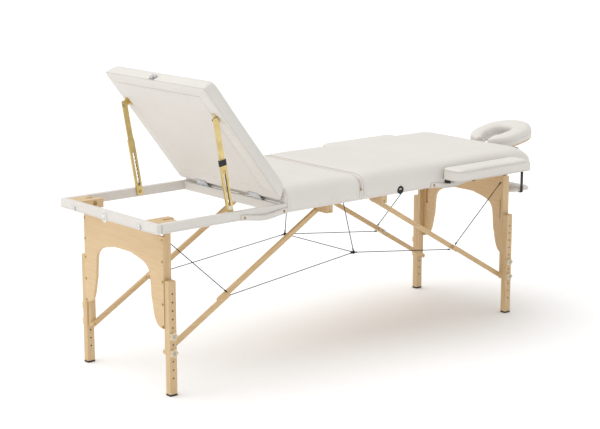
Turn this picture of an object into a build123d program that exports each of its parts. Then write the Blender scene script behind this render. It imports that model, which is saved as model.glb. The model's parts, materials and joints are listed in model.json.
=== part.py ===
"""Portable massage table: two hinged frames, folding wooden legs, lifting backrest.

Millimetres, +X towards the face cradle, +Y to the left of a person lying on the
table with the head at the cradle, +Z up.  The origin is on the floor under the
middle of the table's bounding box.  Everything along the bed is placed by its
distance from the plane where the bed folds in half, because both halves have the
same frame, legs and braces.
"""

import os
from math import atan2, cos, degrees, hypot, radians, sin

from build123d import *

os.makedirs("parts", exist_ok=True)

# ---- driving dimensions ---------------------------------------------------
FOLD_X = -137.3          # where the bed folds in half
HALF_LENGTH = 917.0      # fold plane to the outer face of an end rail
HALF_WIDTH = 302.0       # centre line to the outer face of a side rail
CUSHION_TOP = 677.0      # height of the lying surface
RAIL_TOP = 618.0
RAIL_BOTTOM = 584.5
RAIL_WIDTH = 22.0
BOARD_THICKNESS = 8.0    # plywood under every cushion
FIT = 0.4                # gap between pieces that move past each other
SPLIT_GAP = 1.0          # gap between the two halves at the fold plane

FOOT, HEAD = -1, 1       # the two ends of the bed
NEAR, FAR = -1, 1        # the two sides of the bed

# Legs: an inner post and a sliding outer board, clamped by star knobs.
LEG_PIVOT_D = 833.5      # leg hinge, distance from the fold plane
LEG_PIVOT_Z = 603.0
LEG_FOLD = 85.5          # legs fold until they meet the backrest's cross rail
POST_Y = (233.0, 245.5)
POST_DEPTH = 23.0
POST_BOTTOM = 140.0
BOARD_Y = (245.9, 271.2)
BOARD_DEPTH = 30.3
BOARD_OUTER_D = 852.0    # outer face of a sliding board
BOARD_TOP = 408.0
FOOT_HEIGHT = 6.0
HOLE_PITCH = 30.0
HOLE_COUNT = 11
LOWEST_HOLE = 63.0
KNOB_HOLES = (3, 5)      # which holes carry the knobs
KNOB_RADIUS = 16.5
KNOB_THICKNESS = 7.6
PANEL_OUTER_D = 855.0
PANEL_THICKNESS = 10.0
PANEL_TOP = 560.0
PANEL_BOTTOM = 236.0
ARCH_TOP = 473.0
POCKET_Z = (380.0, 460.0)    # pockets in the panel that the folding knees dip into
POCKET_DEPTH = 7.4

# Braces: two strips of wood with a knee, from the post to a block in the frame.
BRACE_FOOT_Z = 150.0
BRACE_HEAD_D = 135.0
BRACE_HEAD_Z = 558.0
BRACE_HEIGHT = 17.0
BRACE_LOWER_Y = (220.8, 232.6)
BRACE_UPPER_Y = (208.4, 220.4)
BRACE_LAP = 36.0         # how far the lower strip runs on past the knee
KNEE_END = 12.0          # wood past a brace's bolt
CABLE_PIN = 30.0         # knee to the cable's pin, towards the frame

# Backrest and its ratchet stays.
BACKREST_ANGLE = 52.0
BACKREST_HINGE_D = 378.0
BACKREST_HINGE_Z = 618.3
BACKREST_LENGTH = 552.0
CUSHION_THICKNESS = 50.0
STAY_FOOT_D = 588.0      # lower pivot on the side rail
STAY_FOOT_Z = 605.0
STAY_HEAD_S = 418.0      # upper pivot, along the backrest from its hinge
STAY_HEAD_T = -15.0      # and below its underside
CHANNEL_Y = (272.2, 279.6)
CHANNEL_WIDTH = 26.0
CHANNEL_LENGTH = 203.0
CHANNEL_WALL = 1.2
STRUT_WIDTH = 22.0
STRUT_Y = (274.2, 277.6)
STRUT_LENGTH = 190.0
STAY_PIN_RADIUS = 3.9

# Face cradle, armrests and arm shelf.
CRADLE_TILT = 11.0
CRADLE_D = 1058.0        # middle of the ring
CRADLE_Z = 705.0         # middle of the ring's top
CRADLE_RADIUS = 124.0
CRADLE_THICKNESS = 44.0
CRADLE_PLATE = 8.0
ROD_Y = 95.0
ROD_Z = 601.0
ROD_RADIUS = 8.0
ARMREST_D = (405.0, 800.0)
ARMREST_Y = (304.0, 406.0)
ARMREST_Z = (608.0, 659.0)
SOCKETS_D = (196.4, 590.0, 765.0)    # bushes for armrest pegs, along the head half
SOCKET_Z = 597.0
SOCKET_OUTER = 10.0
SOCKET_BORE = 6.4
PEG_RADIUS = 6.0
SHELF_D = (856.0, 978.0)
SHELF_HALF_WIDTH = 262.0
SHELF_Z = (492.0, 510.0)
HANGER_D = 910.0          # pins that the shelf's straps hang on
HANGER_Z = 577.0


# ---- helpers --------------------------------------------------------------
def place(d, end):
    """X of a point at distance d from the fold plane, on the foot or head side."""
    return FOLD_X + end * d


def add_block(xs, ys, zs, mode=Mode.ADD):
    """Add a box between two corners to the part that is being built."""
    with Locations(((xs[0] + xs[1]) / 2, (ys[0] + ys[1]) / 2, (zs[0] + zs[1]) / 2)):
        Box(abs(xs[1] - xs[0]), abs(ys[1] - ys[0]), abs(zs[1] - zs[0]), mode=mode)


def across(side, span):
    """The two Y values of a span measured outwards from the centre line."""
    return (side * span[0], side * span[1])


def add_pin(x, z, radius, ys, mode=Mode.ADD):
    """Add a round bar along Y between two Y values."""
    with Locations((x, (ys[0] + ys[1]) / 2, z)):
        Cylinder(radius, abs(ys[1] - ys[0]), rotation=(90, 0, 0), mode=mode)


def save(builder, label):
    """Label a finished piece and write it."""
    builder.part.label = label
    export_step(builder.part, f"parts/{label}.step")


# ---- brace geometry, in the plane of the legs -----------------------------
brace_run = LEG_PIVOT_D - BRACE_HEAD_D
brace_rise = BRACE_HEAD_Z - BRACE_FOOT_Z
brace_reach = hypot(brace_run, brace_rise)
brace_angle = atan2(brace_rise, brace_run)
arm = LEG_PIVOT_Z - BRACE_FOOT_Z
folded_x = arm * sin(radians(LEG_FOLD))
folded_z = LEG_PIVOT_Z - arm * cos(radians(LEG_FOLD))
span = hypot(brace_run - folded_x, BRACE_HEAD_Z - folded_z)
span_angle = atan2(BRACE_HEAD_Z - folded_z, brace_run - folded_x)
LOWER_REST = radians(90 + LEG_FOLD - 0.5)    # folded, the lower strip lies along the leg
bend = LOWER_REST - span_angle
BRACE_LOWER = (brace_reach**2 - span**2) / (2 * (brace_reach - span * cos(bend)))
BRACE_UPPER = brace_reach - BRACE_LOWER
knee_folded_x = folded_x + BRACE_LOWER * cos(LOWER_REST)
knee_folded_z = folded_z + BRACE_LOWER * sin(LOWER_REST)
upper_folded = atan2(knee_folded_z - BRACE_HEAD_Z, knee_folded_x - brace_run)
LOWER_TURN = degrees(LOWER_REST - brace_angle) - LEG_FOLD
UPPER_TURN = 180 + degrees(brace_angle) - (degrees(upper_folded) % 360)


def brace_plane(end):
    """Plane at the brace's foot: X along the brace to the frame, Y up and square to it."""
    along = (-end * cos(brace_angle), 0, sin(brace_angle))
    return Plane(
        origin=(place(LEG_PIVOT_D, end), 0, BRACE_FOOT_Z),
        x_dir=along,
        z_dir=(0, -end, 0),
    )


def along_brace(distance, end):
    """X and Z of a point on the brace's centre line."""
    return (
        place(LEG_PIVOT_D - distance * cos(brace_angle), end),
        BRACE_FOOT_Z + distance * sin(brace_angle),
    )


# ---- frame rails ----------------------------------------------------------
def build_side_rails(end, label):
    """The two long rails of one half."""
    with BuildPart() as rails:
        for side in (NEAR, FAR):
            xs = (place(SPLIT_GAP / 2, end), place(HALF_LENGTH - RAIL_WIDTH, end))
            add_block(xs, across(side, (HALF_WIDTH - RAIL_WIDTH, HALF_WIDTH - 1)),
                      (RAIL_BOTTOM, RAIL_TOP))
        fillet(rails.edges().filter_by(Axis.X), 2.0)
        for side in (NEAR, FAR):
            for d in {FOOT: (), HEAD: SOCKETS_D}[end]:
                add_pin(place(d, end), SOCKET_Z, SOCKET_OUTER,
                        across(side, (HALF_WIDTH - RAIL_WIDTH - 1, HALF_WIDTH + 1)),
                        mode=Mode.SUBTRACT)
    save(rails, label)


build_side_rails(FOOT, "foot_side_rails")
build_side_rails(HEAD, "head_side_rails")

with BuildPart() as foot_end_rail:
    add_block((place(HALF_LENGTH, FOOT), place(HALF_LENGTH - RAIL_WIDTH, FOOT)),
              (-HALF_WIDTH, HALF_WIDTH), (RAIL_BOTTOM, RAIL_TOP))
    fillet(foot_end_rail.edges().filter_by(Axis.Y), 2.5)
    fillet(foot_end_rail.edges().filter_by(Axis.Z).group_by(Axis.X)[0], 6)
save(foot_end_rail, "foot_end_rail")

CROSS_RAIL_D = (364.0, 379.5)
CROSS_RAIL_TOP = 615.6
CENTRE_RAIL_D = (SPLIT_GAP / 2, 18.5)
INNER_HALF_WIDTH = HALF_WIDTH - RAIL_WIDTH

with BuildPart() as foot_cross_rails:
    for low, high, top in ((*CROSS_RAIL_D, CROSS_RAIL_TOP), (*CENTRE_RAIL_D, RAIL_TOP)):
        add_block((place(high, FOOT), place(low, FOOT)), (-INNER_HALF_WIDTH, INNER_HALF_WIDTH),
                  (RAIL_BOTTOM, top))
    fillet(foot_cross_rails.edges().filter_by(Axis.Y), 1.5)
save(foot_cross_rails, "foot_cross_rails")

with BuildPart() as head_cross_rails:
    add_block((place(HALF_LENGTH - RAIL_WIDTH, HEAD), place(HALF_LENGTH - 1, HEAD)),
              (-HALF_WIDTH + 1, HALF_WIDTH - 1), (RAIL_BOTTOM, RAIL_TOP))
    add_block((place(CENTRE_RAIL_D[0], HEAD), place(CENTRE_RAIL_D[1], HEAD)),
              (-INNER_HALF_WIDTH, INNER_HALF_WIDTH), (RAIL_BOTTOM, RAIL_TOP))
    for side in (NEAR, FAR):
        with Locations((place(HALF_LENGTH - RAIL_WIDTH / 2, HEAD), side * ROD_Y, ROD_Z)):
            Cylinder(ROD_RADIUS + FIT, RAIL_WIDTH + 4, rotation=(0, 90, 0), mode=Mode.SUBTRACT)
    fillet(head_cross_rails.edges().filter_by(Axis.Y), 1.5)
save(head_cross_rails, "head_cross_rails")


# ---- wooden blocks that carry the legs and the braces -----------------------
BLOCK_Z = (RAIL_BOTTOM + 0.5, RAIL_TOP - 1)
BLOCK_OUTER_D = HALF_LENGTH - RAIL_WIDTH     # against the end rail
BLOCK_INNER_D = 798.0
CHEEK_END_D = 816.0                          # the outer cheek is shorter: the stays pass it
SLOT_Y = (232.4, 246.1)
BLOCK_Y = (200.0, INNER_HALF_WIDTH)
SLOT_ROOT_D = LEG_PIVOT_D + POST_DEPTH / 2 + 1
BRACE_BLOCK_D = (BRACE_HEAD_D - 14, BRACE_HEAD_D + 14)
BRACE_BLOCK_Z = (BRACE_HEAD_Z - 8, RAIL_TOP - 0.5)
HINGE_BOLT_RADIUS = 4.0


def build_blocks(end, label):
    """Slotted corner blocks for the leg posts and hanging blocks for the braces."""
    with BuildPart() as blocks:
        for side in (NEAR, FAR):
            add_block((place(BLOCK_OUTER_D, end), place(BLOCK_INNER_D, end)),
                      across(side, BLOCK_Y), BLOCK_Z)
            add_block((place(SLOT_ROOT_D, end), place(BLOCK_INNER_D - 1, end)),
                      across(side, SLOT_Y), (BLOCK_Z[0] - 1, BLOCK_Z[1] + 1), mode=Mode.SUBTRACT)
            add_block((place(CHEEK_END_D, end), place(BLOCK_INNER_D - 1, end)),
                      across(side, (SLOT_Y[1], INNER_HALF_WIDTH + 1)),
                      (BLOCK_Z[0] - 1, BLOCK_Z[1] + 1), mode=Mode.SUBTRACT)
            add_pin(place(LEG_PIVOT_D, end), LEG_PIVOT_Z, HINGE_BOLT_RADIUS + 0.05,
                    across(side, (BLOCK_Y[0] - 1, BLOCK_Y[1] + 1)), mode=Mode.SUBTRACT)
            add_block((place(BRACE_BLOCK_D[0], end), place(BRACE_BLOCK_D[1], end)),
                      across(side, (BRACE_UPPER_Y[1] + FIT, INNER_HALF_WIDTH)), BRACE_BLOCK_Z)
            add_pin(place(BRACE_HEAD_D, end), BRACE_HEAD_Z, HINGE_BOLT_RADIUS + 0.05,
                    across(side, (BRACE_UPPER_Y[0], INNER_HALF_WIDTH + 1)), mode=Mode.SUBTRACT)
    save(blocks, label)


build_blocks(FOOT, "foot_wood_blocks")
build_blocks(HEAD, "head_wood_blocks")


# ---- leg posts, sliding boards, panel --------------------------------------
PIVOT_BOLT_RADIUS = 3.0
PANEL_SCREW_Z = (243.0, 322.0, 402.0, 472.0, 548.0)
PANEL_SCREW_RADIUS = 2.6
HEIGHT_HOLE_RADIUS = 3.6


def leg_plane(side, y):
    """Upright plane at a given distance from the centre line, X along the bed."""
    return Plane(origin=(0, side * y, 0), x_dir=(1, 0, 0), z_dir=(0, -1, 0))


def build_posts(end, label):
    """Inner posts with a round head on the hinge bolt."""
    x = place(LEG_PIVOT_D, end)
    with BuildPart() as posts:
        for side in (NEAR, FAR):
            add_block((x - POST_DEPTH / 2, x + POST_DEPTH / 2), across(side, POST_Y),
                      (POST_BOTTOM, LEG_PIVOT_Z))
            add_pin(x, LEG_PIVOT_Z, POST_DEPTH / 2, across(side, POST_Y))
            add_pin(x, LEG_PIVOT_Z, HINGE_BOLT_RADIUS + 0.05, across(side, (POST_Y[0] - 1, POST_Y[1] + 1)),
                    mode=Mode.SUBTRACT)
            add_pin(x, BRACE_FOOT_Z, PIVOT_BOLT_RADIUS + 0.05, across(side, (POST_Y[0] - 1, POST_Y[1] + 1)),
                    mode=Mode.SUBTRACT)
        chamfer(posts.edges().filter_by(Axis.Y).group_by(Axis.Z)[0], 1.5)
    save(posts, label)


def build_boards(end, label):
    """Sliding outer boards with a row of height holes."""
    x_outer = place(BOARD_OUTER_D, end)
    x_inner = place(BOARD_OUTER_D - BOARD_DEPTH, end)
    x_middle = (x_outer + x_inner) / 2
    with BuildPart() as boards:
        for side in (NEAR, FAR):
            add_block((x_outer, x_inner), across(side, BOARD_Y), (FOOT_HEIGHT, BOARD_TOP))
        fillet(boards.edges().filter_by(Axis.Z), 1.5)
        chamfer(boards.edges().group_by(Axis.Z)[-1], 1.0)
        for side in (NEAR, FAR):
            for hole in range(HOLE_COUNT):
                add_pin(x_middle, LOWEST_HOLE + hole * HOLE_PITCH, HEIGHT_HOLE_RADIUS,
                        across(side, (BOARD_Y[0] - 1, BOARD_Y[1] + 1)), mode=Mode.SUBTRACT)
    save(boards, label)


def build_feet(end, label):
    """Rubber caps under the sliding boards."""
    x_middle = place(BOARD_OUTER_D - BOARD_DEPTH / 2, end)
    y_middle = (BOARD_Y[0] + BOARD_Y[1]) / 2
    with BuildPart() as feet:
        for side in (NEAR, FAR):
            with BuildSketch(Plane.XY):
                with Locations((x_middle, side * y_middle)):
                    RectangleRounded(BOARD_DEPTH + 1, BOARD_Y[1] - BOARD_Y[0] + 0.6, 2.5)
        extrude(amount=FOOT_HEIGHT)
        chamfer(feet.edges().group_by(Axis.Z)[0], 1.0)
    save(feet, label)


def build_knobs(end, label):
    """Five-lobed clamp knobs on the outer face of each sliding board."""
    x = place(BOARD_OUTER_D - BOARD_DEPTH / 2, end)
    with BuildPart() as knobs:
        for side in (NEAR, FAR):
            face = BOARD_Y[1] + 0.2
            for hole in KNOB_HOLES:
                z = LOWEST_HOLE + hole * HOLE_PITCH
                with BuildSketch(leg_plane(side, face)):
                    with Locations((x, z)):
                        Circle(KNOB_RADIUS - 4.0)
                        with PolarLocations(KNOB_RADIUS - 5.4, 5):
                            Circle(5.4)
                extrude(amount=-side * KNOB_THICKNESS)
    save(knobs, label)


def build_panel(end, label):
    """Plywood panel between the posts, cut to an arch with a wide shoulder."""
    x = place(PANEL_OUTER_D, end)
    half = POST_Y[1] - 0.6
    with BuildPart() as panel:
        with BuildSketch(Plane(origin=(x, 0, 0), x_dir=(0, 1, 0), z_dir=(1, 0, 0))):
            with BuildLine():
                Polyline((0, ARCH_TOP), (0, PANEL_TOP), (half, PANEL_TOP), (half, PANEL_BOTTOM),
                         (half - 8, PANEL_BOTTOM))
                Spline((half - 8, PANEL_BOTTOM), (206, 246), (186, 282), (175, 330), (168, 390),
                       tangents=((-1, 0), (-0.08, 1)))
                Spline((168, 390), (158, 431), (122, 456), (62, 470), (0, ARCH_TOP),
                       tangents=((-0.08, 1), (-1, 0)))
            make_face()
            mirror(about=Plane.YZ)
        extrude(amount=-end * PANEL_THICKNESS)
        for side in (NEAR, FAR):
            for z in PANEL_SCREW_Z:
                with Locations((x - end * PANEL_THICKNESS / 2, side * (POST_Y[0] + 6.2), z)):
                    Cylinder(PANEL_SCREW_RADIUS, PANEL_THICKNESS + 2, rotation=(0, 90, 0),
                             mode=Mode.SUBTRACT)
            add_block((x - end * (PANEL_THICKNESS + 1), x - end * (PANEL_THICKNESS - POCKET_DEPTH)),
                      across(side, (BRACE_UPPER_Y[0] - 1, BRACE_UPPER_Y[1] + 1)), POCKET_Z,
                      mode=Mode.SUBTRACT)
    save(panel, label)


def build_leg_screws(end, label):
    """Panel screws and the bolts that hold the lower brace strips."""
    x = place(PANEL_OUTER_D, end)
    pivot_x = place(LEG_PIVOT_D, end)
    with BuildPart() as screws:
        for side in (NEAR, FAR):
            for z in PANEL_SCREW_Z:
                with Locations((x - end * PANEL_THICKNESS / 2, side * (POST_Y[0] + 6.2), z)):
                    Cylinder(PANEL_SCREW_RADIUS, PANEL_THICKNESS, rotation=(0, 90, 0))
            add_pin(pivot_x, BRACE_FOOT_Z, PIVOT_BOLT_RADIUS,
                    across(side, (BRACE_LOWER_Y[0], POST_Y[1])))
    save(screws, label)


# ---- braces -----------------------------------------------------------------
def build_brace(end, label, start, stop, ys, pivots):
    """A left and a right strip, with round ends and bolt holes."""
    with BuildPart() as strips:
        for side in (NEAR, FAR):
            inner = side * ys[0]
            plane = brace_plane(end)
            plane = Plane(origin=plane.origin + Vector(0, inner, 0), x_dir=plane.x_dir,
                          z_dir=(0, side, 0))
            with BuildSketch(plane):
                with Locations(((start + stop) / 2, 0)):
                    RectangleRounded(stop - start, BRACE_HEIGHT, BRACE_HEIGHT / 2 - 0.1)
                for pivot in pivots:
                    with Locations((pivot, 0)):
                        Circle(PIVOT_BOLT_RADIUS + 0.05, mode=Mode.SUBTRACT)
            extrude(amount=ys[1] - ys[0])
    save(strips, label)


def build_knee_bolts(end, label):
    """Knee bolts with a round head and the pins that the cables hook on."""
    with BuildPart() as bolts:
        for side in (NEAR, FAR):
            x, z = along_brace(BRACE_LOWER, end)
            add_pin(x, z, PIVOT_BOLT_RADIUS, across(side, BRACE_UPPER_Y))
            add_pin(x, z, PIVOT_BOLT_RADIUS + 3.5,
                    across(side, (BRACE_UPPER_Y[0] - 2.5, BRACE_UPPER_Y[0])))
            x, z = along_brace(BRACE_LOWER + CABLE_PIN, end)
            add_pin(x, z, 2.5, across(side, (BRACE_UPPER_Y[0] - 5, BRACE_UPPER_Y[0])))
    save(bolts, label)


for end, name in ((FOOT, "foot"), (HEAD, "head")):
    build_posts(end, f"{name}_leg_posts")
    build_boards(end, f"{name}_leg_boards")
    build_feet(end, f"{name}_leg_feet")
    build_knobs(end, f"{name}_leg_knobs")
    build_panel(end, f"{name}_leg_panel")
    build_leg_screws(end, f"{name}_leg_screws")
    build_brace(end, f"{name}_brace_lower", -KNEE_END, BRACE_LOWER + BRACE_LAP, BRACE_LOWER_Y,
                (0,))
    build_brace(end, f"{name}_brace_upper", BRACE_LOWER - KNEE_END, brace_reach + KNEE_END,
                BRACE_UPPER_Y, (BRACE_LOWER, brace_reach))
    build_knee_bolts(end, f"{name}_knee_bolts")


# ---- frame fasteners --------------------------------------------------------
STRAP_SCREW_D = (371.0, 548.0)
STRAP_SCREW_Z = 591.4
STRAP_THICKNESS = 2.2


def build_fasteners(end, label):
    """Leg and brace bolts, strap screws, and the pins of the stays or of the shelf's straps."""
    with BuildPart() as fasteners:
        for side in (NEAR, FAR):
            add_pin(place(LEG_PIVOT_D, end), LEG_PIVOT_Z, HINGE_BOLT_RADIUS,
                    across(side, (BLOCK_Y[0], BLOCK_Y[1] - 0.5)))
            add_pin(place(LEG_PIVOT_D, end), LEG_PIVOT_Z, HINGE_BOLT_RADIUS + 3.5,
                    across(side, (BLOCK_Y[0] - 3, BLOCK_Y[0])))
            add_pin(place(BRACE_HEAD_D, end), BRACE_HEAD_Z, PIVOT_BOLT_RADIUS,
                    across(side, (BRACE_UPPER_Y[0] - 0.4, INNER_HALF_WIDTH - 1)))
            add_pin(place(BRACE_HEAD_D, end), BRACE_HEAD_Z, PIVOT_BOLT_RADIUS + 3.5,
                    across(side, (BRACE_UPPER_Y[0] - 3, BRACE_UPPER_Y[0] - 0.4)))
        for d in STRAP_SCREW_D:
            y = -HALF_WIDTH - STRAP_THICKNESS
            add_pin(place(d, end), STRAP_SCREW_Z, 3.2, (y - 1.5, y))
        for side in (NEAR, FAR):
            if end == FOOT:
                x = place(STAY_FOOT_D, FOOT)
                add_pin(x, STAY_FOOT_Z, STAY_PIN_RADIUS,
                        across(side, (CHANNEL_Y[0] - 0.2, INNER_HALF_WIDTH)))
                add_pin(x, STAY_FOOT_Z, STAY_PIN_RADIUS + 3,
                        across(side, (CHANNEL_Y[0] - 0.8, CHANNEL_Y[0] - 0.2)))
            else:
                x = place(HANGER_D, HEAD)
                add_block((x - 5, x + 5), across(side, (255, 259)), (HANGER_Z - 4, RAIL_BOTTOM))
                add_pin(x, HANGER_Z, 2.4, across(side, (255, 267)))
    save(fasteners, label)


def build_strap(end, label):
    """Carrying strap on the near rail, hanging in a shallow sag between its screws."""
    low, high = (place(d, end) for d in STRAP_SCREW_D)
    left, right = min(low, high) - 16, max(low, high) + 16
    middle = (left + right) / 2
    face = Plane(origin=(0, -HALF_WIDTH, 0), x_dir=(1, 0, 0), z_dir=(0, -1, 0))
    with BuildPart() as strap:
        with BuildSketch(face):
            with BuildLine():
                Spline((left, 583), (left + 34, 583.5), (middle, 572), (right - 34, 583.5), (right, 583))
                Line((right, 583), (right, 603))
                Spline((right, 603), (right - 34, 603.5), (middle, 592), (left + 34, 603.5), (left, 603))
                Line((left, 603), (left, 583))
            make_face()
        extrude(amount=STRAP_THICKNESS)
    save(strap, label)


for end, name in ((FOOT, "foot"), (HEAD, "head")):
    build_fasteners(end, f"{name}_fasteners")
    build_strap(end, f"{name}_carry_strap")

# ---- fixed cushions on their boards -----------------------------------------
MIDDLE_D = (1.5, 363.0)
HEAD_D = (1.5, HALF_LENGTH)
EDGE_ROUND = 24.0
CORNER_ROUND = 45.0


def build_board(end, distances, label):
    """Plywood under a fixed cushion."""
    with BuildPart() as board:
        add_block((place(distances[0], end), place(distances[1] - 3, end)),
                  (-HALF_WIDTH + 4, HALF_WIDTH - 4), (RAIL_TOP, RAIL_TOP + BOARD_THICKNESS))
    save(board, label)


def build_pad(end, distances, label, corner_round):
    """Cushion with a rounded top edge."""
    with BuildPart() as pad:
        add_block((place(distances[0], end), place(distances[1], end)),
                  (-HALF_WIDTH, HALF_WIDTH), (RAIL_TOP + BOARD_THICKNESS, CUSHION_TOP))
        if corner_round:
            outer = pad.edges().filter_by(Axis.Z).group_by(Axis.X)[-1 if end == HEAD else 0]
            fillet(outer, corner_round)
        top = pad.faces().sort_by(Axis.Z)[-1]
        fillet(top.edges(), EDGE_ROUND)
    save(pad, label)


build_board(FOOT, MIDDLE_D, "middle_board")
build_board(HEAD, HEAD_D, "head_board")
build_pad(FOOT, MIDDLE_D, "middle_pad", 0)
build_pad(HEAD, HEAD_D, "head_pad", CORNER_ROUND)

# ---- hinges under the fold and along the backrest ----------------------------
CENTRE_HINGE_Y = 150.0
CENTRE_LEAF = (52.0, 17.0, 1.6)      # along the rail, across it, thickness
KNUCKLE_RADIUS = 3.0
KNUCKLES = 5
CENTRE_AXIS_Z = RAIL_BOTTOM - KNUCKLE_RADIUS
FOLD_PIN_RADIUS = 1.45
BACKREST_HINGE_Y = 158.0
BACKREST_LEAF_LENGTH = 64.0
BACKREST_KNUCKLE = 2.4
FRAME_LEAF_Z = (CROSS_RAIL_TOP, CROSS_RAIL_TOP + 1.6)


def add_centre_leaves(end):
    """Both leaves under one centre rail, with alternate knuckles round the fold axis."""
    pitch = CENTRE_LEAF[0] / KNUCKLES
    leaf_z = (RAIL_BOTTOM - CENTRE_LEAF[2], RAIL_BOTTOM)
    for y in (-CENTRE_HINGE_Y, CENTRE_HINGE_Y):
        first = y - CENTRE_LEAF[0] / 2
        add_block((place(KNUCKLE_RADIUS + FIT, end), place(CENTRE_LEAF[1], end)),
                  (first, first + CENTRE_LEAF[0]), leaf_z)
        for index in range(0 if end == FOOT else 1, KNUCKLES, 2):
            ys = (first + index * pitch + 0.3, first + (index + 1) * pitch - 0.3)
            add_pin(FOLD_X, CENTRE_AXIS_Z, KNUCKLE_RADIUS, ys)
            add_block((FOLD_X, place(KNUCKLE_RADIUS + FIT, end)), ys, leaf_z)


hinge_x = place(BACKREST_HINGE_D, FOOT)

with BuildPart() as foot_hinge_leaves:
    add_centre_leaves(FOOT)
    for y in (-CENTRE_HINGE_Y, CENTRE_HINGE_Y):
        add_pin(FOLD_X, CENTRE_AXIS_Z, FOLD_PIN_RADIUS,
                (y - CENTRE_LEAF[0] / 2, y + CENTRE_LEAF[0] / 2))
    for y in (-BACKREST_HINGE_Y, BACKREST_HINGE_Y):
        first = y - BACKREST_LEAF_LENGTH / 2
        add_block((hinge_x + BACKREST_KNUCKLE + FIT, place(CROSS_RAIL_D[0], FOOT) - 0.5),
                  (first, first + BACKREST_LEAF_LENGTH), FRAME_LEAF_Z)
        for index in range(0, KNUCKLES, 2):
            pitch = BACKREST_LEAF_LENGTH / KNUCKLES
            ys = (first + index * pitch + 0.3, first + (index + 1) * pitch - 0.3)
            add_pin(hinge_x, BACKREST_HINGE_Z, BACKREST_KNUCKLE, ys)
            add_block((hinge_x + 1.5, hinge_x + BACKREST_KNUCKLE + FIT), ys, FRAME_LEAF_Z)
        add_pin(hinge_x, BACKREST_HINGE_Z, 1.2, (first, first + BACKREST_LEAF_LENGTH))
save(foot_hinge_leaves, "foot_hinge_leaves")

with BuildPart() as head_hinge_leaves:
    add_centre_leaves(HEAD)
    for y in (-CENTRE_HINGE_Y, CENTRE_HINGE_Y):
        add_pin(FOLD_X, CENTRE_AXIS_Z, FOLD_PIN_RADIUS + 0.05, (y - CENTRE_LEAF[0], y + CENTRE_LEAF[0]),
                mode=Mode.SUBTRACT)
save(head_hinge_leaves, "head_hinge_leaves")

# ---- end of the foot half: bumpers and the catch's keeper -------------------
BUMPER_RADIUS = 9.0
BUMPER_DEPTH = 7.0

with BuildPart() as end_bumpers:
    for y in (-200.0, 206.0):
        with Locations((place(HALF_LENGTH + BUMPER_DEPTH / 2, FOOT), y, 595)):
            Cylinder(BUMPER_RADIUS, BUMPER_DEPTH, rotation=(0, -90, 0))
    fillet(end_bumpers.edges().group_by(Axis.X)[0], 2.5)
save(end_bumpers, "end_bumpers")

with BuildPart() as end_latch_keeper:
    add_block((place(HALF_LENGTH + 2, FOOT), place(HALF_LENGTH, FOOT)), (-6, 30), (578, 614))
    add_block((place(HALF_LENGTH + 7, FOOT), place(HALF_LENGTH + 2, FOOT)), (0, 24), (596, 603))
    fillet(end_latch_keeper.edges().filter_by(Axis.X), 2)
save(end_latch_keeper, "end_latch_keeper")

# ---- backrest -----------------------------------------------------------------
tilt = radians(BACKREST_ANGLE)
backrest_plane = Plane(
    origin=(hinge_x, 0, BACKREST_HINGE_Z),
    x_dir=(-cos(tilt), 0, sin(tilt)),
    z_dir=(sin(tilt), 0, cos(tilt)),
)
backrest_profile = Plane(origin=backrest_plane.origin, x_dir=backrest_plane.x_dir, z_dir=(0, 1, 0))
BOARD_T = (0.4, 0.4 + BOARD_THICKNESS)
PAD_T = (BOARD_T[1], 59.0)
BEVEL = ((9.7, PAD_T[0]), (39.0, 47.0), (42.0, PAD_T[1]))   # clears the middle cushion

with BuildPart() as backrest_board:
    with BuildSketch(backrest_profile):
        Polygon((5, BOARD_T[0]), (BACKREST_LENGTH - 3, BOARD_T[0]),
                (BACKREST_LENGTH - 3, BOARD_T[1]), (9.5, BOARD_T[1]), align=None)
    extrude(amount=HALF_WIDTH - 4, both=True)
save(backrest_board, "backrest_board")

with BuildPart() as backrest_pad:
    with BuildSketch(backrest_profile):
        Polygon(*BEVEL, (BACKREST_LENGTH, PAD_T[1]), (BACKREST_LENGTH, PAD_T[0]), align=None)
    extrude(amount=HALF_WIDTH, both=True)
    fillet(backrest_pad.edges().filter_by(Axis.Y).group_by(Axis.Z)[-1], 10)
save(backrest_pad, "backrest_pad")

with BuildPart(backrest_plane) as backrest_liner:
    with Locations((BACKREST_LENGTH / 2 + 15, 0, -0.5)):
        Box(BACKREST_LENGTH - 106, 2 * HALF_WIDTH - 110, 1.6)
save(backrest_liner, "backrest_liner")

with BuildPart(backrest_plane) as backrest_hinge_leaves:
    for y in (-BACKREST_HINGE_Y, BACKREST_HINGE_Y):
        with Locations((17.5, y, -0.6)):
            Box(25, BACKREST_LEAF_LENGTH, 1.6)
        for index in range(1, KNUCKLES, 2):
            pitch = BACKREST_LEAF_LENGTH / KNUCKLES
            start = y - BACKREST_LEAF_LENGTH / 2 + index * pitch
            with Locations((0, start + pitch / 2, 0)):
                Cylinder(BACKREST_KNUCKLE, pitch - 0.6, rotation=(90, 0, 0))
            with Locations((3.5, start + pitch / 2, -0.6)):
                Box(4, pitch - 0.6, 1.6)
            with Locations((0, start + pitch / 2, 0)):
                Cylinder(1.25, pitch, rotation=(90, 0, 0), mode=Mode.SUBTRACT)
save(backrest_hinge_leaves, "backrest_hinge_leaves")

with BuildPart(backrest_plane) as backrest_catch:
    with Locations((BACKREST_LENGTH + 0.9, -12, 20)):
        Box(1.8, 30, 22)
    with Locations((BACKREST_LENGTH + 4.4, -12, 15)):
        Box(5.2, 18, 9)
save(backrest_catch, "backrest_catch")

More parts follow.
